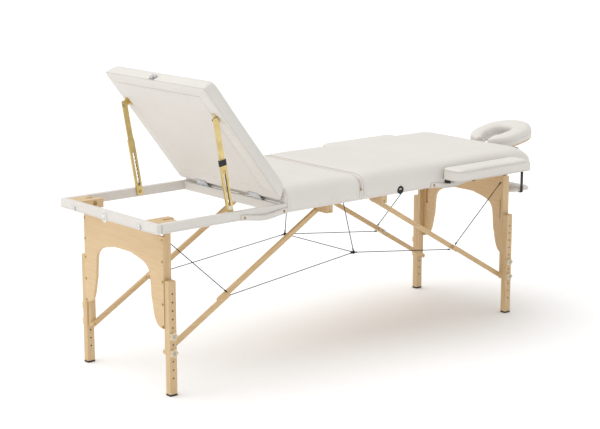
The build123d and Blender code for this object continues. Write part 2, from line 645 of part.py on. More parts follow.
# ---- ratchet stays ------------------------------------------------------------
stay_foot = Vector(place(STAY_FOOT_D, FOOT), 0, STAY_FOOT_Z)
stay_head = backrest_plane.from_local_coords((STAY_HEAD_S, 0, STAY_HEAD_T))
stay_length = (stay_head - stay_foot).length
stay_angle = atan2(stay_head.Z - stay_foot.Z, stay_head.X - stay_foot.X)
SLOT_RANGE = (21.0, 164.0)
SLOT_HALF_WIDTH = 4.0
TOOTH_RADIUS = 5.6
TOOTH_PITCH = 14.4
TOOTH_START = 30.0
TOOTH_COUNT = 9
CAP_RANGE = (179.0, 201.0)


def stay_plane(side, y):
    """Plane of a stay: X from the lower pivot to the upper one."""
    return Plane(origin=(stay_foot.X, side * y, stay_foot.Z),
                 x_dir=(cos(stay_angle), 0, sin(stay_angle)), z_dir=(0, side, 0))


with BuildPart() as stay_channels:
    for side in (NEAR, FAR):
        with BuildSketch(stay_plane(side, CHANNEL_Y[0])):
            with Locations(((CHANNEL_LENGTH - 14) / 2, 0)):
                RectangleRounded(CHANNEL_LENGTH + 14, CHANNEL_WIDTH, 4)
        extrude(amount=CHANNEL_Y[1] - CHANNEL_Y[0])
        with BuildSketch(stay_plane(side, CHANNEL_Y[0] + CHANNEL_WALL)):
            with Locations((CHANNEL_LENGTH / 2 + 10, 0)):
                Rectangle(CHANNEL_LENGTH + 40, CHANNEL_WIDTH - 2 * CHANNEL_WALL)
        extrude(amount=CHANNEL_Y[1] - CHANNEL_Y[0] - 2 * CHANNEL_WALL, mode=Mode.SUBTRACT)
        with BuildSketch(stay_plane(side, CHANNEL_Y[0] - 1)):
            with Locations((sum(SLOT_RANGE) / 2, 0)):
                SlotOverall(SLOT_RANGE[1] - SLOT_RANGE[0], 2 * SLOT_HALF_WIDTH)
            for tooth in range(TOOTH_COUNT):
                with Locations((TOOTH_START + tooth * TOOTH_PITCH, 1.5)):
                    Circle(TOOTH_RADIUS)
        extrude(amount=CHANNEL_Y[1] - CHANNEL_Y[0] + 2, mode=Mode.SUBTRACT)
        with BuildSketch(stay_plane(side, CHANNEL_Y[0] - 1)):
            Circle(STAY_PIN_RADIUS + 0.1)
        extrude(amount=CHANNEL_Y[1] - CHANNEL_Y[0] + 2, mode=Mode.SUBTRACT)
save(stay_channels, "stay_channels")

with BuildPart() as stay_caps:      # only the near stay has its end cap
    for width, ys, mode in (
        (CHANNEL_WIDTH + 2.4, (CHANNEL_Y[0] - 0.5, CHANNEL_Y[1] + 0.3), Mode.ADD),
        (CHANNEL_WIDTH + 0.1, (CHANNEL_Y[0] - 0.05, CHANNEL_Y[1] + 0.05), Mode.SUBTRACT),
    ):
        with BuildSketch(stay_plane(NEAR, ys[0])):
            with Locations((sum(CAP_RANGE) / 2, 0)):
                Rectangle(CAP_RANGE[1] - CAP_RANGE[0] + (mode == Mode.SUBTRACT), width)
        extrude(amount=ys[1] - ys[0], mode=mode)
save(stay_caps, "stay_caps")

with BuildPart() as stay_struts:
    for side in (NEAR, FAR):
        with BuildSketch(stay_plane(side, STRUT_Y[0])):
            with Locations((stay_length + 11 - STRUT_LENGTH / 2 - 5.5, 0)):
                RectangleRounded(STRUT_LENGTH + 11, STRUT_WIDTH, 5)
        extrude(amount=STRUT_Y[1] - STRUT_Y[0])
        with BuildSketch(stay_plane(side, STRUT_Y[1])):
            with Locations((stay_length, 0)):
                Circle(4.5)
        extrude(amount=1.2)
        with BuildSketch(stay_plane(side, STRUT_Y[1])):
            with Locations((stay_length - STRUT_LENGTH + 8, 0)):
                Circle(2.5)
        extrude(amount=CHANNEL_Y[1] - STRUT_Y[1] - 0.2)
save(stay_struts, "stay_struts")

EAR_Y = (269.4, 271.6)
with BuildPart(backrest_plane) as stay_brackets:
    for side in (NEAR, FAR):
        middle = side * (EAR_Y[0] + EAR_Y[1]) / 2
        with Locations((STAY_HEAD_S, -middle, (STAY_HEAD_T - 9) / 2)):
            Box(24, EAR_Y[1] - EAR_Y[0], 9 - STAY_HEAD_T - 1)
        with Locations((STAY_HEAD_S + 1.5, -side * (EAR_Y[0] - 8), -0.8)):
            Box(35, 18, 2.0)
        with Locations((STAY_HEAD_S, -side * (EAR_Y[0] + STRUT_Y[0] - 0.1) / 2, STAY_HEAD_T)):
            Cylinder(3.0, STRUT_Y[0] - 0.1 - EAR_Y[0], rotation=(90, 0, 0))
save(stay_brackets, "stay_brackets")

# ---- armrest bushes and armrests -----------------------------------------------
with BuildPart() as armrest_bushes:
    for side in (NEAR, FAR):
        for d in SOCKETS_D:
            x = place(d, HEAD)
            add_pin(x, SOCKET_Z, SOCKET_OUTER - 0.05,
                    across(side, (INNER_HALF_WIDTH, HALF_WIDTH - 1)))
            add_pin(x, SOCKET_Z, SOCKET_OUTER + 5, across(side, (HALF_WIDTH - 1, HALF_WIDTH + 1)))
            add_pin(x, SOCKET_Z, SOCKET_BORE,
                    across(side, (INNER_HALF_WIDTH - 1, HALF_WIDTH + 2)), mode=Mode.SUBTRACT)
save(armrest_bushes, "armrest_bushes")

PEG_D = SOCKETS_D[1:]
ARM_PLATE_Y = (303.3, 306.3)


def build_armrest_pad(side, label):
    """Armrest cushion with rounded outer corners and top edge."""
    with BuildPart() as pad:
        add_block((place(ARMREST_D[0], HEAD), place(ARMREST_D[1], HEAD)),
                  across(side, (ARMREST_Y[0] + 2.6, ARMREST_Y[1])), (ARMREST_Z[0] + 3, ARMREST_Z[1]))
        outer = pad.edges().filter_by(Axis.Z).group_by(Axis.Y)[0 if side == NEAR else -1]
        fillet(outer, 26)
        fillet(pad.faces().sort_by(Axis.Z)[-1].edges(), 9)
    save(pad, label)


def build_armrest_bracket(side, label):
    """Steel bar under an armrest with two pegs for the frame's bushes and a turned-down end."""
    bar_z = (ARMREST_Z[0], ARMREST_Z[0] + 3)
    start = place(ARMREST_D[0], HEAD) + 12
    with BuildPart() as bracket:
        for d in PEG_D:
            x = place(d, HEAD)
            add_block((x - 14, x + 14), across(side, ARM_PLATE_Y), (586, bar_z[1]))
            add_block((x - 14, x + 14), across(side, (ARM_PLATE_Y[0], ARMREST_Y[1] - 22)), bar_z)
            add_pin(x, SOCKET_Z, PEG_RADIUS, across(side, (INNER_HALF_WIDTH + 2, ARM_PLATE_Y[0])))
        bar_y = across(side, (ARM_PLATE_Y[1] + 8, ARM_PLATE_Y[1] + 38))
        add_block((start, place(PEG_D[1], HEAD) - 14), bar_y, bar_z)
        add_block((start, start + 3), bar_y, (bar_z[0] - 9, bar_z[0]))
    save(bracket, label)


for side, name in ((NEAR, "near"), (FAR, "far")):
    build_armrest_pad(side, f"armrest_{name}_pad")
    build_armrest_bracket(side, f"armrest_{name}_bracket")

# ---- face cradle ------------------------------------------------------------------
cradle_tilt = radians(CRADLE_TILT)
cradle_plane = Plane(
    origin=(place(CRADLE_D, HEAD), 0, CRADLE_Z),
    x_dir=(cos(cradle_tilt), 0, sin(cradle_tilt)),
    z_dir=(-sin(cradle_tilt), 0, cos(cradle_tilt)),
)
CRADLE_HOLE = 47.0        # radius of the face opening
CRADLE_THROAT = 30.0      # half-width of the gap between the arms
TILT_AXIS_D = 1040.0
TILT_AXIS_Z = 628.0
ROD_D = (HALF_LENGTH - RAIL_WIDTH + 1, 1056.0)
BRACKET_Y = (84.0, 87.0)


def cradle_outline(inset):
    """Horseshoe outline, open towards the bed, on the sketch being built."""
    SlotCenterToCenter(30, 2 * (CRADLE_RADIUS - inset) - 6)
    with Locations((-22, 0)):
        SlotCenterToCenter(34, 2 * (CRADLE_HOLE + inset), mode=Mode.SUBTRACT)
    with Locations((-CRADLE_RADIUS, 0)):
        Rectangle(2 * (CRADLE_RADIUS - 30), 2 * (CRADLE_THROAT + inset), mode=Mode.SUBTRACT)
    with Locations((-CRADLE_RADIUS - 30, 0)):
        Rectangle(70, 4 * CRADLE_RADIUS, mode=Mode.SUBTRACT)


with BuildPart() as cradle_pad:
    with BuildSketch(cradle_plane.offset(-CRADLE_THICKNESS)):
        cradle_outline(0)
    extrude(amount=CRADLE_THICKNESS)
    fillet(cradle_pad.faces().sort_by(Axis.Z)[-1].edges(), 8)
save(cradle_pad, "cradle_pad")

LUG_Y = (87.4, 90.4)
LUG_HALF = 11.0
AXLE_RADIUS = 4.0
tilt_x = place(TILT_AXIS_D, HEAD)

with BuildPart() as cradle_plate:
    with BuildSketch(cradle_plane.offset(-CRADLE_THICKNESS - CRADLE_PLATE)):
        cradle_outline(7)
    extrude(amount=CRADLE_PLATE)
    for side in (NEAR, FAR):
        add_block((tilt_x - LUG_HALF, tilt_x + LUG_HALF), across(side, LUG_Y), (TILT_AXIS_Z, 651))
        add_pin(tilt_x, TILT_AXIS_Z, LUG_HALF, across(side, LUG_Y))
        add_pin(tilt_x, TILT_AXIS_Z, AXLE_RADIUS + 0.05, across(side, (LUG_Y[0] - 1, LUG_Y[1] + 1)),
                mode=Mode.SUBTRACT)
save(cradle_plate, "cradle_plate")

with BuildPart() as cradle_rods:
    for side in (NEAR, FAR):
        rod_x = (place(ROD_D[0], HEAD), place(ROD_D[1], HEAD))
        with Locations((sum(rod_x) / 2, side * ROD_Y, ROD_Z)):
            Cylinder(ROD_RADIUS, rod_x[1] - rod_x[0], rotation=(0, 90, 0))
        add_block((tilt_x - LUG_HALF, tilt_x + LUG_HALF), across(side, BRACKET_Y),
                  (ROD_Z - 6, TILT_AXIS_Z))
        add_block((tilt_x - LUG_HALF, tilt_x + LUG_HALF), across(side, (BRACKET_Y[0], ROD_Y)),
                  (ROD_Z - 6, ROD_Z + 6))
        add_pin(tilt_x, TILT_AXIS_Z, LUG_HALF, across(side, BRACKET_Y))
        add_pin(tilt_x, TILT_AXIS_Z, AXLE_RADIUS + 0.05,
                across(side, (BRACKET_Y[0] - 1, BRACKET_Y[1] + 1)), mode=Mode.SUBTRACT)
    add_block((rod_x[1] - 12, rod_x[1]), (-ROD_Y, ROD_Y), (ROD_Z - 6, ROD_Z + 6))
save(cradle_rods, "cradle_rods")

KNOB_Y = (96.0, 116.0)
CRADLE_KNOB_RADIUS = 12.0

with BuildPart() as cradle_lock:
    add_pin(tilt_x, TILT_AXIS_Z, AXLE_RADIUS, (-KNOB_Y[1] + 4, LUG_Y[1] + 3))
    add_pin(tilt_x, TILT_AXIS_Z, AXLE_RADIUS + 3, (LUG_Y[1] + FIT, LUG_Y[1] + 4))
    add_pin(tilt_x, TILT_AXIS_Z, CRADLE_KNOB_RADIUS, (-KNOB_Y[1], -KNOB_Y[0]))
    fillet(cradle_lock.edges().group_by(Axis.Y)[0], 3)
save(cradle_lock, "cradle_lock")

# ---- hanging arm shelf ---------------------------------------------------------
STRAP_Y = (262.4, 264.0)
STRAP_HALF = 7.0

with BuildPart() as shelf_straps:
    x = place(HANGER_D, HEAD)
    for side in (NEAR, FAR):
        add_block((x - STRAP_HALF, x + STRAP_HALF), across(side, STRAP_Y), (SHELF_Z[0] - 2, HANGER_Z))
        add_pin(x, HANGER_Z, STRAP_HALF, across(side, STRAP_Y))
        add_pin(x, HANGER_Z, 2.6, across(side, (STRAP_Y[0] - 1, STRAP_Y[1] + 1)), mode=Mode.SUBTRACT)
        add_block((x - STRAP_HALF, x + STRAP_HALF), across(side, (196, STRAP_Y[1])),
                  (SHELF_Z[0] - 2, SHELF_Z[0] - 0.3))
save(shelf_straps, "shelf_straps")

with BuildPart() as shelf_pad:
    add_block((place(SHELF_D[0], HEAD), place(SHELF_D[1], HEAD)),
              (-SHELF_HALF_WIDTH, SHELF_HALF_WIDTH), SHELF_Z)
    fillet(shelf_pad.edges().filter_by(Axis.Z), 34)
    fillet(shelf_pad.faces().sort_by(Axis.Z)[-1].edges(), 6)
save(shelf_pad, "shelf_pad")

# ---- steel cables under the bed --------------------------------------------------
CABLE_RADIUS = 1.2
JUNCTION = Vector(FOLD_X + 51.0, 203.7, 361.0)    # knot of cables under the head half
LEG_ANCHOR = (823.5, 229.5, 538.0)                # on a post: distance, from centre, height
NEAR_TIE = Vector(FOLD_X - 9.0, -203.7, RAIL_BOTTOM)
FAR_TIE = Vector(FOLD_X + 77.0, 203.7, RAIL_TOP)
CRIMP_RADIUS = 2.6
CRIMP_LENGTH = 12.0


def cable_pin(end, side, offset, y):
    """A cable's end on a brace: beside the lap, square to the strip by offset."""
    x, z = along_brace(BRACE_LOWER + CABLE_PIN, end)
    return Vector(x + end * offset * sin(brace_angle), side * y, z + offset * cos(brace_angle))


def add_rod(start, stop, radius):
    """Round bar between two points."""
    with Locations(Plane(origin=(start + stop) / 2, z_dir=stop - start)):
        Cylinder(radius, (stop - start).length)


def add_cable(start, stop, gap=0.0):
    """Straight tight cable with a crimp near both ends."""
    run = (stop - start).normalized()
    first, last = start + run * gap, stop - run * gap
    add_rod(first, last, CABLE_RADIUS)
    add_rod(first, first + run * CRIMP_LENGTH, CRIMP_RADIUS)
    add_rod(last - run * CRIMP_LENGTH, last, CRIMP_RADIUS)


def build_cables(end, label, extra):
    """Cables from the posts to the knees and on to the junction of one half."""
    with BuildPart() as cables:
        for side in (NEAR, FAR):
            anchor = Vector(place(LEG_ANCHOR[0], end), side * LEG_ANCHOR[1], LEG_ANCHOR[2])
            junction = Vector(JUNCTION.X, side * JUNCTION.Y, JUNCTION.Z)
            add_cable(anchor, cable_pin(end, side, BRACE_HEIGHT / 2 + 3, 226.7))
            add_cable(cable_pin(end, side, -BRACE_HEIGHT / 2 - 3, 214.4), junction, gap=4.0)
        for start, stop in extra:
            add_cable(start, stop, gap=4.0)
    save(cables, label)


near_junction = Vector(JUNCTION.X, -JUNCTION.Y, JUNCTION.Z)
build_cables(FOOT, "foot_cables", ())
build_cables(HEAD, "head_cables", ((near_junction, JUNCTION), (near_junction, NEAR_TIE),
                                   (JUNCTION, FAR_TIE)))
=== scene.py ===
"""Looks of a portable massage table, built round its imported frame.

Metres, +X towards the face cradle, +Z up, floor at z = 0.  Every class below is one
sub-assembly of the table: it holds its own sizes, builds its pieces and dresses them.
"""
import json
import logging
import math
from dataclasses import dataclass
from enum import Enum
from typing import Callable, Iterable, Sequence

import bmesh
import bpy
import numpy as np
from mathutils import Matrix, Vector, noise
from mathutils.bvhtree import BVHTree


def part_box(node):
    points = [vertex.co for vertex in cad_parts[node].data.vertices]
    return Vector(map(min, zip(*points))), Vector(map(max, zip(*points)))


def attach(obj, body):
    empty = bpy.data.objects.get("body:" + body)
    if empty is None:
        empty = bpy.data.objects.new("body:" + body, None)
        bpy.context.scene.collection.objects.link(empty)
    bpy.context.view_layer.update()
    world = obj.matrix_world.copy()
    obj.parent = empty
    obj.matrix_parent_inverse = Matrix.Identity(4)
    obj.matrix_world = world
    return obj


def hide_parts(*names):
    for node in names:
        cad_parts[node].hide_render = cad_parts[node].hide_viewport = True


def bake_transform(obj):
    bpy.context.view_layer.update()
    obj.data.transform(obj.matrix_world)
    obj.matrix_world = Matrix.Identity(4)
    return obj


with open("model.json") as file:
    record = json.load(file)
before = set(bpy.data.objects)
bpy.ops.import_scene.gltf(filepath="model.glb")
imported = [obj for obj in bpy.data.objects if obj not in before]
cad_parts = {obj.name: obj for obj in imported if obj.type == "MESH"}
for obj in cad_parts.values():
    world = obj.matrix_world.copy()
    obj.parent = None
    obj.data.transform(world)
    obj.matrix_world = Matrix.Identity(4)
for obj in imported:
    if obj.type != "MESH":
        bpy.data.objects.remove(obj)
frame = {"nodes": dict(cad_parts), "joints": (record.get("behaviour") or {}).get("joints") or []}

LOG = logging.getLogger("massage_table")
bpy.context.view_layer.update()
MM = 0.001


class End(Enum):
    """The two ends of the bed, as the sign of X away from the fold."""

    FOOT = -1
    HEAD = 1

    @property
    def word(self) -> str:
        """Name that the end has in node and body names."""
        return self.name.lower()


class Side(Enum):
    """The two sides of the bed, as the sign of Y."""

    NEAR = -1
    FAR = 1

    @property
    def word(self) -> str:
        """Name that the side has in node and body names."""
        return self.name.lower()


# ---- the frame's own places ---------------------------------------------------
def pivot(joint: str) -> Vector:
    """Point on a hinge's axis, at rest."""
    found = next(j for j in frame["joints"] if j["name"] == joint)
    return Vector(found["pos_m"])


FOLD = pivot("centre_fold")


def from_fold(distance: float, end: End) -> float:
    """X of a place at a distance from the fold plane, in metres."""
    return FOLD.x + end.value * distance


# ---- shader node groups ---------------------------------------------------------
class Graph:
    """Adds nodes to a node tree and wires them together."""

    def __init__(self, tree: bpy.types.NodeTree) -> None:
        """Works on one tree.

        Args:
            tree: a material's or a group's node tree.
        """
        self.tree = tree

    def add(self, kind: str, inputs: dict | None = None, **settings: object) -> bpy.types.Node:
        """Adds a node.

        Args:
            kind: node type without its ShaderNode prefix.
            inputs: values or sockets for its inputs, by name or index.
            settings: attributes of the node.

        Returns:
            The new node.
        """
        node = self.tree.nodes.new("ShaderNode" + kind)
        for name, value in settings.items():
            setattr(node, name, value)
        for name, value in (inputs or {}).items():
            socket = node.inputs[name]
            if isinstance(value, bpy.types.NodeSocket):
                self.tree.links.new(value, socket)
            else:
                socket.default_value = value
        return node

    def math(self, operation: str, first: object, second: object = 0.0) -> bpy.types.NodeSocket:
        """Joins two values by an arithmetic operation and returns the result's socket."""
        return self.add("Math", {0: first, 1: second}, operation=operation).outputs[0]

    def ramp(self, value: bpy.types.NodeSocket, low: float, high: float) -> bpy.types.NodeSocket:
        """Stretches a value between two limits to 0..1.

        Args:
            value: socket of the value.
            low: value that becomes 0.
            high: value that becomes 1.

        Returns:
            The result's socket.
        """
        node = self.add("MapRange", {"Value": value, "From Min": low, "From Max": high},
                        clamp=True)
        return node.outputs["Result"]

    def mix(self, factor: object, first: object, second: object) -> bpy.types.NodeSocket:
        """Blends two colours.

        Args:
            factor: share of the second colour.
            first: first colour or its socket.
            second: second colour or its socket.

        Returns:
            The result's socket.
        """
        node = self.add("Mix", data_type="RGBA")
        for index, value in ((0, factor), (6, first), (7, second)):
            if isinstance(value, bpy.types.NodeSocket):
                self.tree.links.new(value, node.inputs[index])
            else:
                node.inputs[index].default_value = value
        return node.outputs[2]

    def noise(self, vector: bpy.types.NodeSocket, scale: float, detail: float = 2.0,
              roughness: float = 0.5) -> bpy.types.NodeSocket:
        """Adds noise over a vector.

        Args:
            vector: socket of the place.
            scale: how many spots fit in a metre, about.
            detail: octaves.
            roughness: share that each octave keeps.

        Returns:
            The socket of the noise's value.
        """
        node = self.add("TexNoise", {"Vector": vector, "Scale": scale, "Detail": detail,
                                     "Roughness": roughness})
        return node.outputs["Fac"]


def new_group(name: str, inputs: Sequence[tuple[str, str, object]],
              outputs: Sequence[tuple[str, str]]) -> tuple[Graph, bpy.types.Node, bpy.types.Node]:
    """Starts a shader node group.

    Args:
        name: the group's name.
        inputs: name, socket type without its prefix, and default value of each input.
        outputs: name and socket type of each output.

    Returns:
        The group's graph, its input node and its output node.
    """
    tree = bpy.data.node_groups.new(name, "ShaderNodeTree")
    for label, kind, value in inputs:
        socket = tree.interface.new_socket(label, in_out="INPUT", socket_type="NodeSocket" + kind)
        socket.default_value = value
    for label, kind in outputs:
        tree.interface.new_socket(label, in_out="OUTPUT", socket_type="NodeSocket" + kind)
    graph = Graph(tree)
    return graph, tree.nodes.new("NodeGroupInput"), tree.nodes.new("NodeGroupOutput")


def colour(red: float, green: float, blue: float) -> tuple[float, float, float, float]:
    """Linear colour from display values of 0 to 255."""
    return tuple(((c / 255) ** 2.2) for c in (red, green, blue)) + (1.0,)


def build_grain_group() -> bpy.types.NodeTree:
    """Embossed grain of coated cloth: small pebbles, broad tone and faint rubbing.

    Returns:
        The group's node tree.
    """
    graph, source, sink = new_group(
        "embossed_grain",
        [("Light", "Color", colour(235, 231, 225)), ("Dark", "Color", colour(215, 208, 200)),
         ("Pebble Scale", "Float", 520.0), ("Sheen Patches", "Float", 0.5)],
        [("Color", "Color"), ("Roughness", "Float"), ("Height", "Float")])
    where = graph.add("TexCoord").outputs["Object"]
    wobble = graph.add("TexNoise", {"Vector": where, "Scale": 60.0, "Detail": 2.0})
    shifted = graph.add("MixRGB", {"Fac": 0.006, "Color1": where, "Color2": wobble.outputs["Color"]},
                        blend_type="ADD").outputs[0]
    pebbles = graph.add("TexVoronoi", {"Vector": shifted, "Scale": source.outputs["Pebble Scale"]},
                        feature="SMOOTH_F1")
    pebble = graph.ramp(pebbles.outputs["Distance"], 0.05, 0.75)
    broad = graph.noise(where, 5.0, 3.0)
    fine = graph.noise(where, 95.0, 3.0, 0.6)
    tone = graph.math("ADD", graph.math("MULTIPLY", broad, 0.6), graph.math("MULTIPLY", fine, 0.4))
    darkness = graph.math("ADD", graph.math("MULTIPLY", graph.ramp(tone, 0.35, 0.65), 0.35),
                          graph.math("MULTIPLY", pebble, 0.14))
    rubbed = graph.ramp(graph.noise(where, 14.0, 4.0, 0.65), 0.45, 0.7)
    patches = graph.math("MULTIPLY", rubbed, source.outputs["Sheen Patches"])
    rough = graph.math("SUBTRACT", graph.math("ADD", 0.44, graph.math("MULTIPLY", pebble, 0.12)),
                       graph.math("MULTIPLY", patches, 0.12))
    height = graph.math("ADD", graph.math("MULTIPLY", pebble, -1.0), graph.math("MULTIPLY", fine, 0.5))
    links = graph.tree.links
    links.new(graph.mix(darkness, source.outputs["Light"], source.outputs["Dark"]),
              sink.inputs["Color"])
    links.new(rough, sink.inputs["Roughness"])
    links.new(height, sink.inputs["Height"])
    return graph.tree


def build_wood_group() -> bpy.types.NodeTree:
    """Pale beech: long streaks, short rays and pores along the grain.

    Returns:
        The group's node tree.
    """
    graph, source, sink = new_group(
        "beech_grain",
        [("Light", "Color", colour(226, 200, 160)), ("Dark", "Color", colour(198, 160, 112)),
         ("Stretch", "Vector", (1.0, 1.0, 1.0)), ("Figure", "Float", 0.5)],
        [("Color", "Color"), ("Roughness", "Float"), ("Height", "Float")])
    where = graph.add("TexCoord").outputs["Object"]
    along = graph.add("VectorMath", {0: where, 1: source.outputs["Stretch"]},
                      operation="MULTIPLY").outputs[0]
    figure = graph.add("TexNoise", {"Vector": along, "Scale": 26.0, "Detail": 5.0,
                                    "Roughness": 0.55, "Distortion": 0.9}).outputs["Fac"]
    streak = graph.noise(along, 130.0, 4.0, 0.6)
    pores = graph.ramp(graph.noise(along, 900.0, 2.0, 0.5), 0.60, 0.74)
    bands = graph.math("FRACT", graph.math("MULTIPLY", figure, 7.0))
    ring = graph.math("ABSOLUTE", graph.math("SUBTRACT", bands, 0.5))
    tone = graph.math("ADD", graph.math("MULTIPLY", graph.ramp(ring, 0.0, 0.5), 0.35),
                      graph.math("MULTIPLY", graph.ramp(streak, 0.3, 0.7), 0.45))
    mixed = graph.math("MULTIPLY", tone, source.outputs["Figure"])
    broad = graph.math("MULTIPLY", graph.ramp(graph.noise(where, 3.0, 2.0), 0.35, 0.65), 0.18)
    darkness = graph.math("ADD", graph.math("ADD", mixed, broad), graph.math("MULTIPLY", pores, 0.22))
    links = graph.tree.links
    links.new(graph.mix(darkness, source.outputs["Light"], source.outputs["Dark"]),
              sink.inputs["Color"])
    rough = graph.math("ADD", 0.42, graph.math("MULTIPLY", streak, 0.16))
    links.new(rough, sink.inputs["Roughness"])
    height = graph.math("SUBTRACT", graph.math("MULTIPLY", streak, 0.6), pores)
    links.new(height, sink.inputs["Height"])
    return graph.tree


def build_edge_group() -> bpy.types.NodeTree:
    """Mask of outer edges, broken up as rubbing leaves them.

    Returns:
        The group's node tree.
    """
    graph, source, sink = new_group(
        "edge_wear", [("Width", "Float", 0.0015), ("Breakup", "Float", 90.0)], [("Mask", "Float")])
    soft = graph.add("Bevel", {"Radius": source.outputs["Width"]}, samples=4).outputs[0]
    plain = graph.add("NewGeometry").outputs["Normal"]
    same = graph.add("VectorMath", {0: soft, 1: plain}, operation="DOT_PRODUCT").outputs["Value"]
    edge = graph.ramp(graph.math("SUBTRACT", 1.0, same), 0.02, 0.22)
    where = graph.add("TexCoord").outputs["Object"]
    patches = graph.add("TexNoise", {"Vector": where, "Scale": source.outputs["Breakup"],
                                     "Detail": 4.0}).outputs["Fac"]
    mask = graph.math("MULTIPLY", edge, graph.ramp(patches, 0.35, 0.62))
    graph.tree.links.new(mask, sink.inputs["Mask"])
    return graph.tree


def build_surface_group() -> bpy.types.NodeTree:
    """Fine marks of moulded or plated pieces: tone, roughness and height that vary.

    Returns:
        The group's node tree.
    """
    graph, source, sink = new_group(
        "fine_marks",
        [("Base", "Color", colour(128, 128, 128)), ("Shade", "Color", colour(96, 96, 96)),
         ("Stretch", "Vector", (1.0, 1.0, 1.0)), ("Scale", "Float", 400.0),
         ("Rough Low", "Float", 0.3), ("Rough High", "Float", 0.5)],
        [("Color", "Color"), ("Roughness", "Float"), ("Height", "Float")])
    where = graph.add("TexCoord").outputs["Object"]
    along = graph.add("VectorMath", {0: where, 1: source.outputs["Stretch"]},
                      operation="MULTIPLY").outputs[0]
    fine = graph.add("TexNoise", {"Vector": along, "Scale": source.outputs["Scale"],
                                  "Detail": 4.0, "Roughness": 0.6}).outputs["Fac"]
    broad = graph.noise(where, 22.0, 3.0, 0.55)
    tone = graph.math("ADD", graph.math("MULTIPLY", graph.ramp(fine, 0.3, 0.7), 0.45),
                      graph.math("MULTIPLY", graph.ramp(broad, 0.3, 0.7), 0.55))
    links = graph.tree.links
    links.new(graph.mix(tone, source.outputs["Base"], source.outputs["Shade"]), sink.inputs["Color"])
    rough = graph.add("MapRange", {"Value": tone, "To Min": source.outputs["Rough Low"],
                                   "To Max": source.outputs["Rough High"]}).outputs["Result"]
    links.new(rough, sink.inputs["Roughness"])
    links.new(fine, sink.inputs["Height"])
    return graph.tree


class Effects:
    """Shader node groups that the finishes share, each built once."""

    grain = build_grain_group()
    wood = build_wood_group()
    edge = build_edge_group()
    marks = build_surface_group()


# ---- finishes -----------------------------------------------------------------------
@dataclass(frozen=True)
class Finish:
    """Base of every finish: a Principled shader fed by a shared effect."""

    name: str
    light: tuple[float, float, float, float]
    dark: tuple[float, float, float, float]

    def start(self) -> tuple[bpy.types.Material, Graph, bpy.types.Node]:
        """Makes the empty material with its shader.

        Returns:
            The material, its graph and its Principled shader.
        """
        material = bpy.data.materials.new(self.name)
        material.use_nodes = True
        graph = Graph(material.node_tree)
        shader = material.node_tree.nodes["Principled BSDF"]
        return material, graph, shader

    def effect(self, graph: Graph, tree: bpy.types.NodeTree, inputs: dict) -> bpy.types.Node:
        """Places a shared effect in a material.

        Args:
            graph: the material's graph.
            tree: the effect's node tree.
            inputs: the effect's values in this material, by name.

        Returns:
            The effect's node.
        """
        node = graph.tree.nodes.new("ShaderNodeGroup")
        node.node_tree = tree
        for key, value in inputs.items():
            node.inputs[key].default_value = value
        return node

    def dress(self, graph: Graph, shader: bpy.types.Node, effect: bpy.types.Node, depth: float,
              strength: float) -> bpy.types.Node:
        """Feeds colour, roughness and relief from an effect to the shader.

        Args:
            graph: the material's graph.
            shader: its Principled shader.
            effect: a group with Color, Roughness and Height outputs.
            depth: height of the relief, in metres.
            strength: share of the relief that shows.

        Returns:
            The Bump node.
        """
        links = graph.tree.links
        links.new(effect.outputs["Color"], shader.inputs["Base Color"])
        links.new(effect.outputs["Roughness"], shader.inputs["Roughness"])
        bump = graph.add("Bump", {"Height": effect.outputs["Height"], "Distance": depth,
                                  "Strength": strength})
        links.new(bump.outputs["Normal"], shader.inputs["Normal"])
        return bump


@dataclass(frozen=True)
class CoatedCloth(Finish):
    """Polyurethane-coated cloth with an embossed grain."""

    pebble: float = 520.0
    depth: float = 0.00035
    sheen: float = 0.5

    def build(self) -> bpy.types.Material:
        """Builds the material.

        Returns:
            The finished material.
        """
        material, graph, shader = self.start()
        effect = self.effect(graph, Effects.grain, {
            "Light": self.light, "Dark": self.dark, "Pebble Scale": self.pebble,
            "Sheen Patches": self.sheen})
        self.dress(graph, shader, effect, self.depth, 0.5)
        shader.inputs["Specular IOR Level"].default_value = 0.42
        shader.inputs["Sheen Weight"].default_value = 0.08
        return material


@dataclass(frozen=True)
class Beech(Finish):
    """Lacquered beech or birch plywood, with its grain along one axis."""

    grain_along: str = "z"
    figure: float = 0.8

    def build(self) -> bpy.types.Material:
        """Builds the material.

        Returns:
            The finished material.
        """
        material, graph, shader = self.start()
        stretch = [1.0, 1.0, 1.0]
        stretch["xyz".index(self.grain_along)] = 0.07
        effect = self.effect(graph, Effects.wood, {
            "Light": self.light, "Dark": self.dark, "Stretch": stretch, "Figure": self.figure})
        self.dress(graph, shader, effect, 0.0002, 0.35)
        wear = self.effect(graph, Effects.edge, {"Width": 0.0012, "Breakup": 60.0})
        worn = graph.mix(graph.math("MULTIPLY", wear.outputs["Mask"], 0.35),
                         effect.outputs["Color"], self.dark)
        graph.tree.links.new(worn, shader.inputs["Base Color"])
        shader.inputs["Coat Weight"].default_value = 0.12
        shader.inputs["Coat Roughness"].default_value = 0.35
        return material


